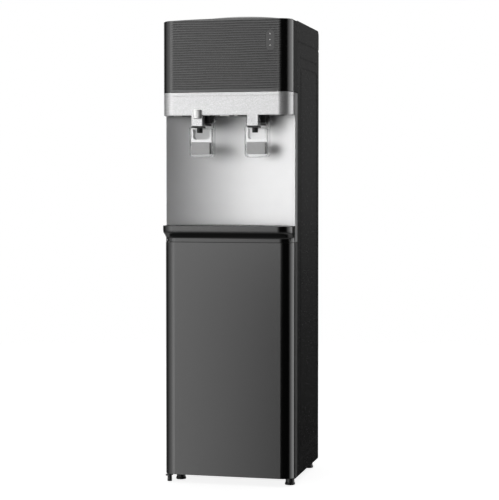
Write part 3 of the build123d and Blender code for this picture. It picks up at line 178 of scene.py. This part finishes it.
def moulded(name, col, rough=0.3, ior=1.5, grain=900.0, depth=0.00002, var=0.06, rvar=0.05,
            edge=0.0004, edge_wear_highlight=None, coat=0.0, coat_rough=0.08, cloud=22.0):
    """Injection moulded plastic: fine spark grain, faint flow clouds, softened edges."""
    t = Tree(name)
    cl = t.noise(cloud, 4.0, 0.55)
    t.link(t.mix(t.remap(cl, 0.3, 0.7, 0.0, 1.0), shade(col, 1 - var), shade(col, 1 + var)),
           t.b.inputs["Base Color"])
    fine = t.noise(grain, 3.0, 0.6)
    t.link(t.remap(t.noise(grain * 0.13, 3.0, 0.6), 0.3, 0.7, rough - rvar, rough + rvar),
           t.b.inputs["Roughness"])
    t.b.inputs["IOR"].default_value = ior
    t.b.inputs["Coat Weight"].default_value = coat
    t.b.inputs["Coat Roughness"].default_value = coat_rough
    nrm = t.soft_edge(edge) if edge else None
    t.link(t.bump(fine, depth, 1.0, nrm), t.b.inputs["Normal"])
    # optional brighter broken edges: partly edge wear, partly painted edge highlight
    if edge_wear_highlight:
        m = t.edge_mask(edge * 1.5)
        brk = t.remap(t.noise(160.0, 5.0, 0.65), 0.45, 0.7, 0.0, 1.0)
        base = t.b.inputs["Base Color"].links[0].from_socket
        t.link(t.mix(t.math("MULTIPLY", m, brk), base, edge_wear_highlight), t.b.inputs["Base Color"])
    return t.mat


def powder_coat(name, col, rough=0.45, ior=1.5, peel=700.0, depth=0.00004, edge=0.0005, edge_wear_highlight=0.5):
    """Sheet steel with a textured coating: orange peel, faint speckle, brighter edges that are partly wear and
    partly painted highlight.
    """
    t = Tree(name)
    cl = t.noise(9.0, 5.0, 0.6)
    sp = t.remap(t.voronoi(1500.0), 0.0, 0.5, 0.0, 1.0)
    base = t.mix(t.remap(cl, 0.3, 0.7, 0.0, 1.0), shade(col, 0.88), shade(col, 1.12))
    base = t.mix(t.math("MULTIPLY", sp, 0.12), base, shade(col, 1.5))
    # brighter broken edges: partly edge wear, partly painted edge highlight
    wear_and_edge_highlight = t.math("MULTIPLY", t.edge_mask(edge * 1.4),
                  t.remap(t.noise(140.0, 5.0, 0.7), 0.5, 0.72, 0.0, edge_wear_highlight))
    t.link(t.mix(wear_and_edge_highlight, base, (0.16, 0.16, 0.165, 1.0)), t.b.inputs["Base Color"])
    t.link(t.remap(t.noise(260.0, 4.0, 0.6), 0.3, 0.7, rough - 0.03, rough + 0.03),
           t.b.inputs["Roughness"])
    t.b.inputs["IOR"].default_value = ior
    t.link(t.bump(t.noise(peel, 2.0, 0.5), depth, 1.0, t.soft_edge(edge)), t.b.inputs["Normal"])
    return t.mat


def metal(name, col, rough=0.3, brushed=None, stain=0.1, depth=0.00002, edge=0.0003, spangle=0.0):
    """Bare or plated metal with brushing along one axis, or plating spangle."""
    t = Tree(name)
    cl = t.noise(30.0, 5.0, 0.6)
    base = t.mix(t.remap(cl, 0.3, 0.7, 0.0, 1.0), shade(col, 1 - stain), shade(col, 1 + stain * 0.6))
    if spangle:
        v = t.voronoi(spangle, out="Color")
        s = t.n("ShaderNodeSeparateColor")
        t.link(v, s.inputs[0])
        base = t.mix(t.math("MULTIPLY", s.outputs[0], 0.35), base, shade(col, 0.75))
    t.link(base, t.b.inputs["Base Color"])
    t.b.inputs["Metallic"].default_value = 1.0
    t.link(t.remap(t.noise(60.0, 4.0, 0.6), 0.3, 0.7, rough - 0.06, rough + 0.08),
           t.b.inputs["Roughness"])
    if brushed:
        h = t.noise(1.0, 3.0, 0.6, vec=t.stretch(brushed))
    else:
        h = t.noise(900.0, 3.0, 0.6)
    t.link(t.bump(h, depth, 1.0, t.soft_edge(edge, 4)), t.b.inputs["Normal"])
    return t.mat


def silver_paint(name, col, rough, metallic, coat, flake=2600.0, edge=0.0006, var=0.02):
    """Silver moulding: metallic pigment flakes under a clear coat."""
    t = Tree(name)
    v = t.voronoi(flake, out="Color")
    s = t.n("ShaderNodeSeparateColor")
    t.link(v, s.inputs[0])
    cl = t.noise(14.0, 3.0, 0.5)
    base = t.mix(t.remap(cl, 0.3, 0.7, 0.0, 1.0), shade(col, 1 - var), shade(col, 1 + var))
    t.link(t.mix(t.math("MULTIPLY", s.outputs[0], 0.14), base, shade(col, 0.80)),
           t.b.inputs["Base Color"])
    t.b.inputs["Metallic"].default_value = metallic
    t.link(t.remap(s.outputs[1], 0.0, 1.0, rough - 0.02, rough + 0.02), t.b.inputs["Roughness"])
    t.b.inputs["Coat Weight"].default_value = coat
    t.b.inputs["Coat Roughness"].default_value = 0.12
    nrm = t.soft_edge(edge)
    t.link(t.bump(t.noise(flake * 0.4, 2.0, 0.5), 0.0000025, 1.0, nrm), t.b.inputs["Normal"])
    return t.mat


def rubber(name, col, rough=0.7, grain=700.0, depth=0.00004):
    t = Tree(name)
    cl = t.noise(60.0, 5.0, 0.65)
    t.link(t.mix(t.remap(cl, 0.3, 0.7, 0.0, 1.0), shade(col, 0.9), shade(col, 1.1)),
           t.b.inputs["Base Color"])
    t.link(t.remap(t.noise(90.0, 4.0, 0.6), 0.3, 0.7, rough - 0.08, rough + 0.08),
           t.b.inputs["Roughness"])
    t.link(t.bump(t.noise(grain, 4.0, 0.6), depth, 1.0, t.soft_edge(0.0005)), t.b.inputs["Normal"])
    return t.mat


def grip(name, front, behind, y_split):
    """Soft grey grip in front of a plane in the piece's own frame; behind it a matt black block, partly the pad's
    dark core and partly painted shade beside the pad.
    """
    t = Tree(name)
    s = t.n("ShaderNodeSeparateXYZ")
    t.link(t.co, s.inputs[0])
    back = t.math("GREATER_THAN", s.outputs["Y"], y_split)
    cl = t.remap(t.noise(60.0, 5.0, 0.65), 0.3, 0.7, 0.0, 1.0)
    # painted shade: behind the split plane the block is painted near-black and its reflection turned down
    t.link(t.mix(back, t.mix(cl, shade(front, 0.95), shade(front, 1.05)), behind), t.b.inputs["Base Color"])
    soft = t.remap(t.noise(90.0, 4.0, 0.6), 0.3, 0.7, 0.40, 0.50)
    t.link(soft, t.b.inputs["Roughness"])
    t.link(t.math("SUBTRACT", 0.5, t.math("MULTIPLY", back, 0.46)), t.b.inputs["Specular IOR Level"])
    t.link(t.bump(t.noise(1300.0, 4.0, 0.6), 0.00001, 1.0, t.soft_edge(0.0005)), t.b.inputs["Normal"])
    return t.mat


def clear(name, rough=0.03):
    """Clear moulding: pale body, faint flow lines, painted dark edges as refraction shade, and a painted highlight
    border round the window.
    """
    t = Tree(name)
    s = t.n("ShaderNodeSeparateXYZ")
    t.link(t.co, s.inputs[0])
    # distance from the lever's own middle plane, the same for both levers
    u = t.math("ABSOLUTE", t.math("SUBTRACT", t.math("ABSOLUTE", t.math("ADD", s.outputs["X"], 0.00175)), 0.06625))
    # painted highlight: a whiter, less clear border round the window where the sill and arms catch light
    inner = t.remap(u, 0.0232, 0.0236, 1.0, 0.0)
    above = t.remap(s.outputs["Z"], 0.7990, 0.7994, 0.0, 1.0)
    painted_highlight_band = t.math("MULTIPLY", inner, above)
    # painted shade: the edges are darkened and made less clear where the moulding refracts
    edge = t.edge_mask(0.0007, 0.01, 0.16)
    body = t.mix(painted_highlight_band, (0.955, 0.96, 0.965, 1.0), (1.0, 1.0, 1.0, 1.0))
    t.link(t.mix(edge, body, (0.03, 0.03, 0.032, 1.0)), t.b.inputs["Base Color"])
    see = t.math("SUBTRACT", 0.90, t.math("MULTIPLY", painted_highlight_band, 0.62))
    t.link(t.math("SUBTRACT", see, t.math("MULTIPLY", edge, 0.25)), t.b.inputs["Transmission Weight"])
    t.b.inputs["IOR"].default_value = 1.45
    t.link(t.remap(t.noise(120.0, 3.0, 0.6), 0.3, 0.7, rough, rough + 0.03),
           t.b.inputs["Roughness"])
    t.link(t.bump(t.noise(90.0, 3.0, 0.5), 0.00002, 1.0, t.soft_edge(0.0006)),
           t.b.inputs["Normal"])
    return t.mat


def silicone(name):
    t = Tree(name)
    cl = t.noise(50.0, 3.0, 0.6)
    t.link(t.mix(t.remap(cl, 0.3, 0.7, 0.0, 1.0), (0.62, 0.63, 0.62, 1), (0.74, 0.75, 0.74, 1)),
           t.b.inputs["Base Color"])
    t.b.inputs["Transmission Weight"].default_value = 0.35
    t.b.inputs["Subsurface Weight"].default_value = 0.3
    t.b.inputs["Subsurface Scale"].default_value = 0.003
    t.link(t.remap(t.noise(200.0, 3.0, 0.6), 0.3, 0.7, 0.25, 0.4), t.b.inputs["Roughness"])
    t.link(t.bump(t.noise(400.0, 2.0, 0.5), 0.00002), t.b.inputs["Normal"])
    return t.mat


def foam(name, col):
    t = Tree(name)
    c = t.voronoi(300.0)
    t.link(t.mix(t.remap(c, 0.0, 0.6, 0.0, 1.0), shade(col, 0.8), col), t.b.inputs["Base Color"])
    t.link(t.remap(t.noise(90.0), 0.3, 0.7, 0.75, 0.95), t.b.inputs["Roughness"])
    t.link(t.bump(c, 0.0006), t.b.inputs["Normal"])
    return t.mat


# ----------------------------------------------------------------------------
# finishes
# ----------------------------------------------------------------------------
M = {}
M["panel_black"] = powder_coat("panel_black", grey(0.009), rough=0.25, ior=1.5, depth=0.000012, edge=0.0004,
                               edge_wear_highlight=0.08)
# painted light: the rear panels get a lighter copy of the black powder coat (0.050 against 0.009) so the dim back
# reads brighter
M["rear_black_painted_light"] = powder_coat("rear_black_painted_light", grey(0.050), rough=0.36, ior=1.5, depth=0.00003, edge_wear_highlight=0.2)
M["coil_black"] = powder_coat("coil_black", grey(0.010), rough=0.26, peel=380.0, depth=0.00002,
                              edge=0.0003, edge_wear_highlight=0.2)
M["head_black"] = moulded("head_black", grey(0.004), rough=0.17, ior=1.78, grain=700.0,
                          depth=0.00001, edge=0.0006)
M["door_black"] = moulded("door_black", grey(0.003), rough=0.16, ior=1.75, grain=1100.0,
                          depth=0.00001, edge=0.0008, cloud=7.0, rvar=0.015)
M["trim_black"] = moulded("trim_black", grey(0.004), rough=0.14, ior=1.70, grain=900.0,
                          depth=0.000006, edge=0.0007)
M["grille_black"] = moulded("grille_black", grey(0.010), rough=0.42, grain=1300.0,
                            depth=0.00003, edge=0.0004)
M["frame_grey"] = moulded("frame_grey", grey(0.030), rough=0.45, grain=1100.0,
                          depth=0.00004, edge=0.0006)
M["silver_band"] = silver_paint("silver_band", grey(0.53, (1, 1, 1.005)), 0.26, 0.55, 0.4)
M["silver_shell"] = silver_paint("silver_shell", grey(0.72, (1, 1, 1.005)), 0.48, 0.02, 0.0)
M["silver_shell"].node_tree.nodes["Principled BSDF"].inputs["IOR"].default_value = 1.38
M["white_plastic"] = moulded("white_plastic", grey(0.80, (1, 1, 0.985)), rough=0.28,
                             grain=900.0, depth=0.00001, var=0.02, edge=0.0005, coat=0.3)
M["clear_plastic"] = clear("clear_plastic")
M["lens_white"] = moulded("lens_white", grey(0.225, (1, 1, 0.97)), rough=0.18, var=0.05,
                          grain=2500.0, edge=0.0003, coat=0.5)
# the pads' back block is painted near-black, partly as shade beside the pad
M["pad_grey"] = grip("pad_grey", grey(0.31), grey(0.012), fy(39.4))
M["rocker_black"] = moulded("rocker_black", grey(0.012), rough=0.22, edge=0.0004)
M["zinc_steel"] = metal("zinc_steel", grey(0.56, (1.0, 1.0, 1.02)), 0.34, spangle=160.0)
M["stainless"] = metal("stainless", grey(0.60), 0.26, brushed=(60.0, 60.0, 4000.0))
M["foam_white"] = foam("foam_white", grey(0.78, (1, 1, 0.95)))
M["black_paint"] = powder_coat("black_paint", grey(0.016), rough=0.30, peel=380.0, depth=0.00002,
                               edge=0.0003)
M["copper"] = metal("copper", (0.72, 0.40, 0.26, 1.0), 0.28, stain=0.25)
M["rubber_black"] = rubber("rubber_black", grey(0.022), rough=0.66)
M["silicone"] = silicone("silicone")
M["board_green"] = moulded("board_green", (0.02, 0.15, 0.06, 1.0), rough=0.35, var=0.2,
                           grain=500.0, edge=0.0002, coat=0.4)

M["lens_cover"] = moulded("lens_cover", grey(0.004), rough=0.12, ior=1.58, grain=900.0,
                          depth=0.000004, edge=0.0004)

FINISH = {"hinge_lower": "black_paint", "indicator_window": "lens_cover", "condenser": "coil_black",
          "rear_panel_lower": "rear_black_painted_light", "rear_panel_upper": "rear_black_painted_light"}
slot_of = {s["node"]: s["material_slot"] for s in frame["record"]["subparts"]}
for name, ob in nodes.items():
    m = M[FINISH.get(name, slot_of[name])]
    if len(ob.data.materials) == 0:
        ob.data.materials.append(m)
    else:
        for i in range(len(ob.data.materials)):
            ob.data.materials[i] = m

for name in ("lever_hot", "lever_cold"):
    nodes[name].visible_shadow = False
    nodes[name].visible_diffuse = False

# ----------------------------------------------------------------------------
# ribbed head cover
# ----------------------------------------------------------------------------
def add_mesh(name, verts, faces, body, material, smooth_angle=35.0):
    me = bpy.data.meshes.new(name)
    me.from_pydata([Vector(v) for v in verts], [], faces)
    me.validate()
    me.update()
    ob = bpy.data.objects.new(name, me)
    bpy.context.scene.collection.objects.link(ob)
    me.materials.append(material)
    bm = bmesh.new()
    bm.from_mesh(me)
    bmesh.ops.recalc_face_normals(bm, faces=bm.faces)
    bm.to_mesh(me)
    bm.free()
    me.shade_smooth()
    me.set_sharp_from_angle(angle=math.radians(smooth_angle))
    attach(ob, body)
    return ob


def smooth(a, b, x):
    t = min(max((x - a) / (b - a), 0.0), 1.0)
    return t * t * (3 - 2 * t)


HEAD_Z0 = 913.0
HEAD_B = 71.0


def head_top(x):
    """The front skin's top edge is crowned: 1078 at the corners, 1082 in the middle."""
    return 1082.0 - 4.0 * (min(abs(x), 156.0) / 156.0) ** 2


def rib(x, z):
    """Depth in mm of the shallow wavy ribs at a point of the head's front skin."""
    fade = 1.0 - smooth(121.0, 136.0, abs(x))
    fade *= smooth(914.5, 918.5, z) * (1.0 - smooth(head_top(x) - 4.5, head_top(x) - 2.0, z))
    if fade <= 0.0:
        return 0.0
    # each rib wanders a little, as drawn by hand
    wave = (0.34 * math.sin(x / 23.0 + z / 31.0) + 0.12 * math.sin(x / 10.5 - z / 17.0 + 1.3)
            + 0.24 * math.sin(x / 47.0 + z / 13.0 + 0.4))
    ph = 2 * math.pi * (z + wave) / 5.5
    return fade * 0.62 * (0.5 - 0.5 * math.cos(ph)) ** 2.4


def head_outline(step_flat=2.2):
    """Plan points (x, Yf, nx, nf) round the U from the left rear to the right rear."""
    R, cx, cf = 30.0, 125.0, 30.0
    pts = []
    for k in range(9):
        f = HEAD_B - (HEAD_B - cf) * k / 8
        pts.append((-155.0, f, -1.0, 0.0))
    for k in range(1, 24):
        a = math.radians(180.0 - 90.0 * k / 24)
        pts.append((-cx + R * math.cos(a), cf - R * math.sin(a), math.cos(a), -math.sin(a)))
    n = int(round(250.0 / step_flat))
    for k in range(n + 1):
        pts.append((-cx + 250.0 * k / n, 0.0, 0.0, -1.0))
    for k in range(1, 24):
        a = math.radians(90.0 - 90.0 * k / 24)
        pts.append((cx + R * math.cos(a), cf - R * math.sin(a), math.cos(a), -math.sin(a)))
    for k in range(9):
        f = cf + (HEAD_B - cf) * k / 8
        pts.append((155.0, f, 1.0, 0.0))
    return pts


def build_head():
    T = 3.0
    outline = head_outline()
    rows = 236
    verts, faces = [], []

    def put(x, f, z):
        verts.append((x * MM, fy(f), z * MM))
        return len(verts) - 1

    # an edge radius of 0.8 at top and bottom
    er = 0.8
    skin = []
    for (x, f, nx, nf) in outline:
        top = head_top(x)
        col = []
        z0, z1 = HEAD_Z0, top
        for k in range(4):                     # bottom round
            a = math.pi / 2 * k / 4
            ins, zz = er * (1 - math.sin(a)), z0 + er * (1 - math.cos(a))
            col.append(put(x - nx * ins, f - nf * ins, zz))
        for k in range(rows + 1):
            z = z0 + er + (z1 - z0 - 2 * er) * k / rows
            d = rib(x, z) if abs(f) < 6.0 else 0.0
            col.append(put(x - nx * d, f - nf * d, z))
        for k in range(1, 5):                  # top round
            a = math.pi / 2 * k / 4
            ins, zz = er * (1 - math.cos(a)), z1 - er * (1 - math.sin(a))
            col.append(put(x - nx * ins, f - nf * ins, zz))
        col.append(put(x - nx * T, f - nf * T, z1))
        col.append(put(x - nx * T, f - nf * T, z0))
        skin.append(col)
    m = len(skin[0])
    for i in range(len(skin) - 1):
        a, b = skin[i], skin[i + 1]
        for j in range(m):
            k = (j + 1) % m
            faces.append((a[j], b[j], b[k], a[k]))
    faces.append(tuple(skin[0]))
    faces.append(tuple(reversed(skin[-1])))
    return add_mesh("head_cover_ribbed", verts, faces, "cabinet", M["head_black"], 50.0)


def pill_cutter(x, z, w, h, f0, f1):
    bm = bmesh.new()
    r, s = w / 2, (h - w) / 2
    ring = []
    for k in range(49):
        a = math.pi * k / 48
        ring.append((x + r * math.cos(a), z + s + r * math.sin(a)))
    for k in range(49):
        a = math.pi + math.pi * k / 48
        ring.append((x + r * math.cos(a), z - s + r * math.sin(a)))
    front = [bm.verts.new((p[0] * MM, fy(f0), p[1] * MM)) for p in ring]
    back = [bm.verts.new((p[0] * MM, fy(f1), p[1] * MM)) for p in ring]
    n = len(ring)
    for i in range(n):
        k = (i + 1) % n
        bm.faces.new((front[i], front[k], back[k], back[i]))
    bm.faces.new(front)
    bm.faces.new(list(reversed(back)))
    bmesh.ops.recalc_face_normals(bm, faces=bm.faces)
    me = bpy.data.meshes.new("cutter")
    bm.to_mesh(me)
    bm.free()
    ob = bpy.data.objects.new("cutter", me)
    bpy.context.scene.collection.objects.link(ob)
    return ob


head = build_head()
cutter = pill_cutter(106.0, 1030.0, 21.4, 48.4, -2.0, 6.0)
boo = head.modifiers.new("pill", "BOOLEAN")
boo.operation = "DIFFERENCE"
boo.object = cutter
boo.solver = "EXACT"
bpy.context.view_layer.update()
dg = bpy.context.evaluated_depsgraph_get()
cut = bpy.data.meshes.new_from_object(head.evaluated_get(dg))
head.modifiers.clear()
head.data = cut
bpy.data.objects.remove(cutter)
cut.shade_smooth()
cut.set_sharp_from_angle(angle=math.radians(50.0))
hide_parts("head_cover")

# ----------------------------------------------------------------------------
# small black bars under the alcove's ceiling, painted shade standing in for the dark gaps under the band, and a
# vent lip that hangs from the ceiling
# ----------------------------------------------------------------------------
def add_bevelled_bars(name, boxes, material):
    """Closed bars (x0, x1, Yf0, Yf1, z0, z1) in mm with a 0.3 bevel, as one mesh."""
    verts, faces = [], []
    for (x0, x1, f0, f1, z0, z1) in boxes:
        c = 0.3
        ring = [(f0 + c, z0), (f1 - c, z0), (f1, z0 + c), (f1, z1 - c), (f1 - c, z1), (f0 + c, z1), (f0, z1 - c),
                (f0, z0 + c)]
        base = len(verts)
        for (x, k) in ((x0, 0.6), (x0 + c, 1.0), (x1 - c, 1.0), (x1, 0.6)):
            fm, zm = (f0 + f1) / 2, (z0 + z1) / 2
            for (f, z) in ring:
                dx = c / max(f1 - f0, z1 - z0) if k < 1.0 else 0.0
                verts.append((x * MM, fy(f + (fm - f) * dx * 2), (z + (zm - z) * dx * 2) * MM))
        n = len(ring)
        for a in range(3):
            for i in range(n):
                j = (i + 1) % n
                faces.append((base + a * n + i, base + a * n + j, base + (a + 1) * n + j, base + (a + 1) * n + i))
        faces.append(tuple(base + i for i in range(n)))
        faces.append(tuple(base + 3 * n + i for i in reversed(range(n))))
    return add_mesh(name, verts, faces, "cabinet", material, 40.0)


# painted shade: these black bars stand in for the dark shadow gaps under the band
add_bevelled_bars("ceiling_painted_shade_bars", [(-138.0, -127.0, 10.0, 12.4, 858.0, 860.2), (-105.0, -85.0, 7.0, 10.0, 857.4, 860.2),
                          (-29.0, -14.5, 7.0, 10.0, 857.8, 860.2), (7.5, 19.0, 7.0, 10.0, 857.8, 860.2),
                          (27.0, 47.0, 7.0, 10.0, 857.4, 860.2), (98.0, 115.0, 7.0, 10.0, 857.8, 860.2),
                          (122.0, 137.0, 10.0, 12.4, 858.2, 860.2)], M["grille_black"])
add_bevelled_bars("ceiling_lip", [(-14.2, 7.2, 7.0, 10.0, 858.4, 860.2)], M["silver_shell"])

# ----------------------------------------------------------------------------
# floor
# ----------------------------------------------------------------------------
bm = bmesh.new()
bmesh.ops.create_circle(bm, cap_ends=True, radius=7.0, segments=96)
fl = bpy.data.meshes.new("floor")
bm.to_mesh(fl)
bm.free()
floor = bpy.data.objects.new("floor", fl)
bpy.context.scene.collection.objects.link(floor)
floor.location = (0, 0, -0.0002)
ft = Tree("floor")
ft.b.inputs["Roughness"].default_value = 0.9
ft.b.inputs["IOR"].default_value = 1.2
ft.link(ft.mix(ft.noise(3.0), grey(0.50), grey(0.53)), ft.b.inputs["Base Color"])
ft.b.inputs["Emission Color"].default_value = (1.0, 1.0, 1.0, 1.0)
ft.b.inputs["Emission Strength"].default_value = 0.86
ft.link(ft.bump(ft.noise(700.0, 2.0), 0.00003), ft.b.inputs["Normal"])
# the floor melts into the pale surround away from the object
dist = ft.n("ShaderNodeVectorMath", operation="LENGTH")
ft.link(ft.co, dist.inputs[0])
gone = ft.remap(dist.outputs["Value"], 0.7, 3.2, 0.0, 1.0)
tr = ft.n("ShaderNodeBsdfTransparent")
mx = ft.n("ShaderNodeMixShader")
ft.link(gone, mx.inputs[0])
ft.link(ft.b.outputs[0], mx.inputs[1])
ft.link(tr.outputs[0], mx.inputs[2])
ft.link(mx.outputs[0], ft.out.inputs["Surface"])
fl.materials.append(ft.mat)
floor.visible_glossy = False
floor.visible_diffuse = False
floor.visible_transmission = False

# ----------------------------------------------------------------------------
# light: pale surround to the eye, a wide soft box at the front left, a pale
# wall on the right, and dark flags between them
# ----------------------------------------------------------------------------
world = bpy.data.worlds.new("studio")
bpy.context.scene.world = world
world.use_nodes = True
wt = world.node_tree
wt.nodes.clear()
w_out = wt.nodes.new("ShaderNodeOutputWorld")
w_mix = wt.nodes.new("ShaderNodeMixShader")
w_seen = wt.nodes.new("ShaderNodeBackground")
w_lit = wt.nodes.new("ShaderNodeBackground")
w_seen.inputs["Color"].default_value = (1, 1, 1, 1)
w_seen.inputs["Strength"].default_value = 1.0
lp = wt.nodes.new("ShaderNodeLightPath")
wt.links.new(lp.outputs["Is Camera Ray"], w_mix.inputs[0])
wt.links.new(w_lit.outputs[0], w_mix.inputs[1])
wt.links.new(w_seen.outputs[0], w_mix.inputs[2])
wt.links.new(w_mix.outputs[0], w_out.inputs["Surface"])
tc = wt.nodes.new("ShaderNodeTexCoord")
sep = wt.nodes.new("ShaderNodeSeparateXYZ")
wt.links.new(tc.outputs["Generated"], sep.inputs[0])


def wmath(op, a, b=0.0):
    m = wt.nodes.new("ShaderNodeMath")
    m.operation = op
    for i, v in enumerate((a, b)):
        if hasattr(v, "links"):
            wt.links.new(v, m.inputs[i])
        else:
            m.inputs[i].default_value = v
    return m.outputs[0]


az = wmath("ARCTAN2", sep.outputs["Y"], sep.outputs["X"])
TOP_LEVEL = 6.0


def azimuth_ramp(stops, interp="EASE"):
    r = wt.nodes.new("ShaderNodeValToRGB")
    r.color_ramp.interpolation = interp
    el = r.color_ramp.elements
    while len(el) > 1:
        el.remove(el[-1])
    first = True
    for deg, val in stops:
        p = (deg + 180.0) / 360.0
        v = val / TOP_LEVEL
        if first:
            el[0].position = p
            e = el[0]
            first = False
        else:
            e = el.new(p)
        e.color = (v, v, v, 1.0)
    wt.links.new(az01, r.inputs[0])
    return wmath("MULTIPLY", r.outputs[0], TOP_LEVEL)


elev = wmath("ARCSINE", sep.outputs["Z"])


def elevation_step(a, b, lo, hi):
    """Smooth step on the elevation, in degrees."""
    m = wt.nodes.new("ShaderNodeMapRange")
    m.interpolation_type = "SMOOTHSTEP"
    wt.links.new(elev, m.inputs["Value"])
    for k, v in (("From Min", math.radians(a)), ("From Max", math.radians(b)), ("To Min", lo), ("To Max", hi)):
        m.inputs[k].default_value = v
    return m.outputs["Result"]


az01 = wmath("ADD", wmath("DIVIDE", az, 2 * math.pi), 0.5)
ring_high = azimuth_ramp([
    (-180, 0.38), (-167, 0.80), (-156, 1.1), (-145, 1.35), (-125, 2.5), (-108, 2.8), (-99, 2.1), (-93, 0.9), (-86, 0.15),
    (-79, 0.03), (-70, 0.006), (-24, 0.006), (-14, 0.50), (-4, 1.12), (8, 1.6), (20, 2.0),
    (36, 2.3), (52, 2.4), (58, 1.3), (65, 0.03), (95, 0.03), (105, 0.8), (116, 1.3), (134, 1.0),
    (148, 0.10), (166, 0.05), (180, 0.38)])
# below the level of the tray the dark flag between the two boxes is wider
ring_low = azimuth_ramp([
    (-180, 0.34), (-167, 0.70), (-156, 1.05), (-145, 1.25), (-125, 2.35), (-113, 3.1), (-106, 2.1), (-103, 1.0),
    (-101, 0.3), (-97, 0.02),
    (-80, 0.006), (-17, 0.006), (-8, 0.42), (2, 1.12), (16, 1.75), (30, 2.2), (43, 2.1),
    (50, 1.6), (56, 0.3), (62, 0.006), (95, 0.006), (105, 0.7), (116, 1.2), (134, 0.9), (148, 0.08), (166, 0.05), (180, 0.34)])
ring = wmath("ADD", wmath("MULTIPLY", ring_high, elevation_step(-3.0, -0.9, 0.0, 1.0)),
             wmath("MULTIPLY", ring_low, elevation_step(-3.0, -0.9, 1.0, 0.0)))
# dim wall far behind on the right, darker towards the floor
wall = azimuth_ramp([(-180, 0.0), (50, 0.0), (66, 0.068), (120, 0.068), (150, 0.0), (180, 0.0)])
wall = wmath("MULTIPLY", wall, elevation_step(-12.0, 9.0, 0.0, 1.1))
level = wmath("MULTIPLY", wmath("ADD", ring, wall), elevation_step(-24.0, -14.0, 0.01, 1.0))
level = wmath("MULTIPLY", level, elevation_step(15.0, 27.0, 1.0, 0.3))
# pale ground seen in glossy surfaces from high views
level = wmath("ADD", level, elevation_step(-40.0, -15.0, 0.40, 0.0))
over = wt.nodes.new("ShaderNodeMix")
over.data_type = "FLOAT"
wt.links.new(elevation_step(35.0, 58.0, 0.0, 1.0), over.inputs[0])
wt.links.new(level, over.inputs[2])
over.inputs[3].default_value = 1.2
# matt surfaces are lit by one broad box at the front left and a little of the rest
broad = azimuth_ramp([
    (-180, 0.1), (-156, 0.4), (-143, 2.6), (-130, 6.0), (-116, 5.8), (-104, 1.8), (-95, 0.15), (-84, 0.05),
    (-10, 0.06), (30, 0.12), (66, 0.20), (92, 0.9), (110, 1.4), (150, 1.2), (180, 0.1)])
broad = wmath("MULTIPLY", broad, 1.5)
broad = wmath("MULTIPLY", broad, elevation_step(-14.0, -1.0, 0.12, 2.05))
broad = wmath("ADD", wmath("MULTIPLY", broad, elevation_step(8.0, 26.0, 1.0, 0.0)), elevation_step(40.0, 64.0, 0.0, 0.7))
matt = wmath("MULTIPLY", wmath("SUBTRACT", broad, over.outputs[0]), lp.outputs["Is Diffuse Ray"])
wt.links.new(wmath("ADD", over.outputs[0], matt), w_lit.inputs["Strength"])


scene = bpy.context.scene
scene.view_settings.view_transform = "Standard"
scene.view_settings.look = "None"
scene.view_settings.exposure = 0.0
scene.view_settings.gamma = 1.0

bpy.context.view_layer.update()
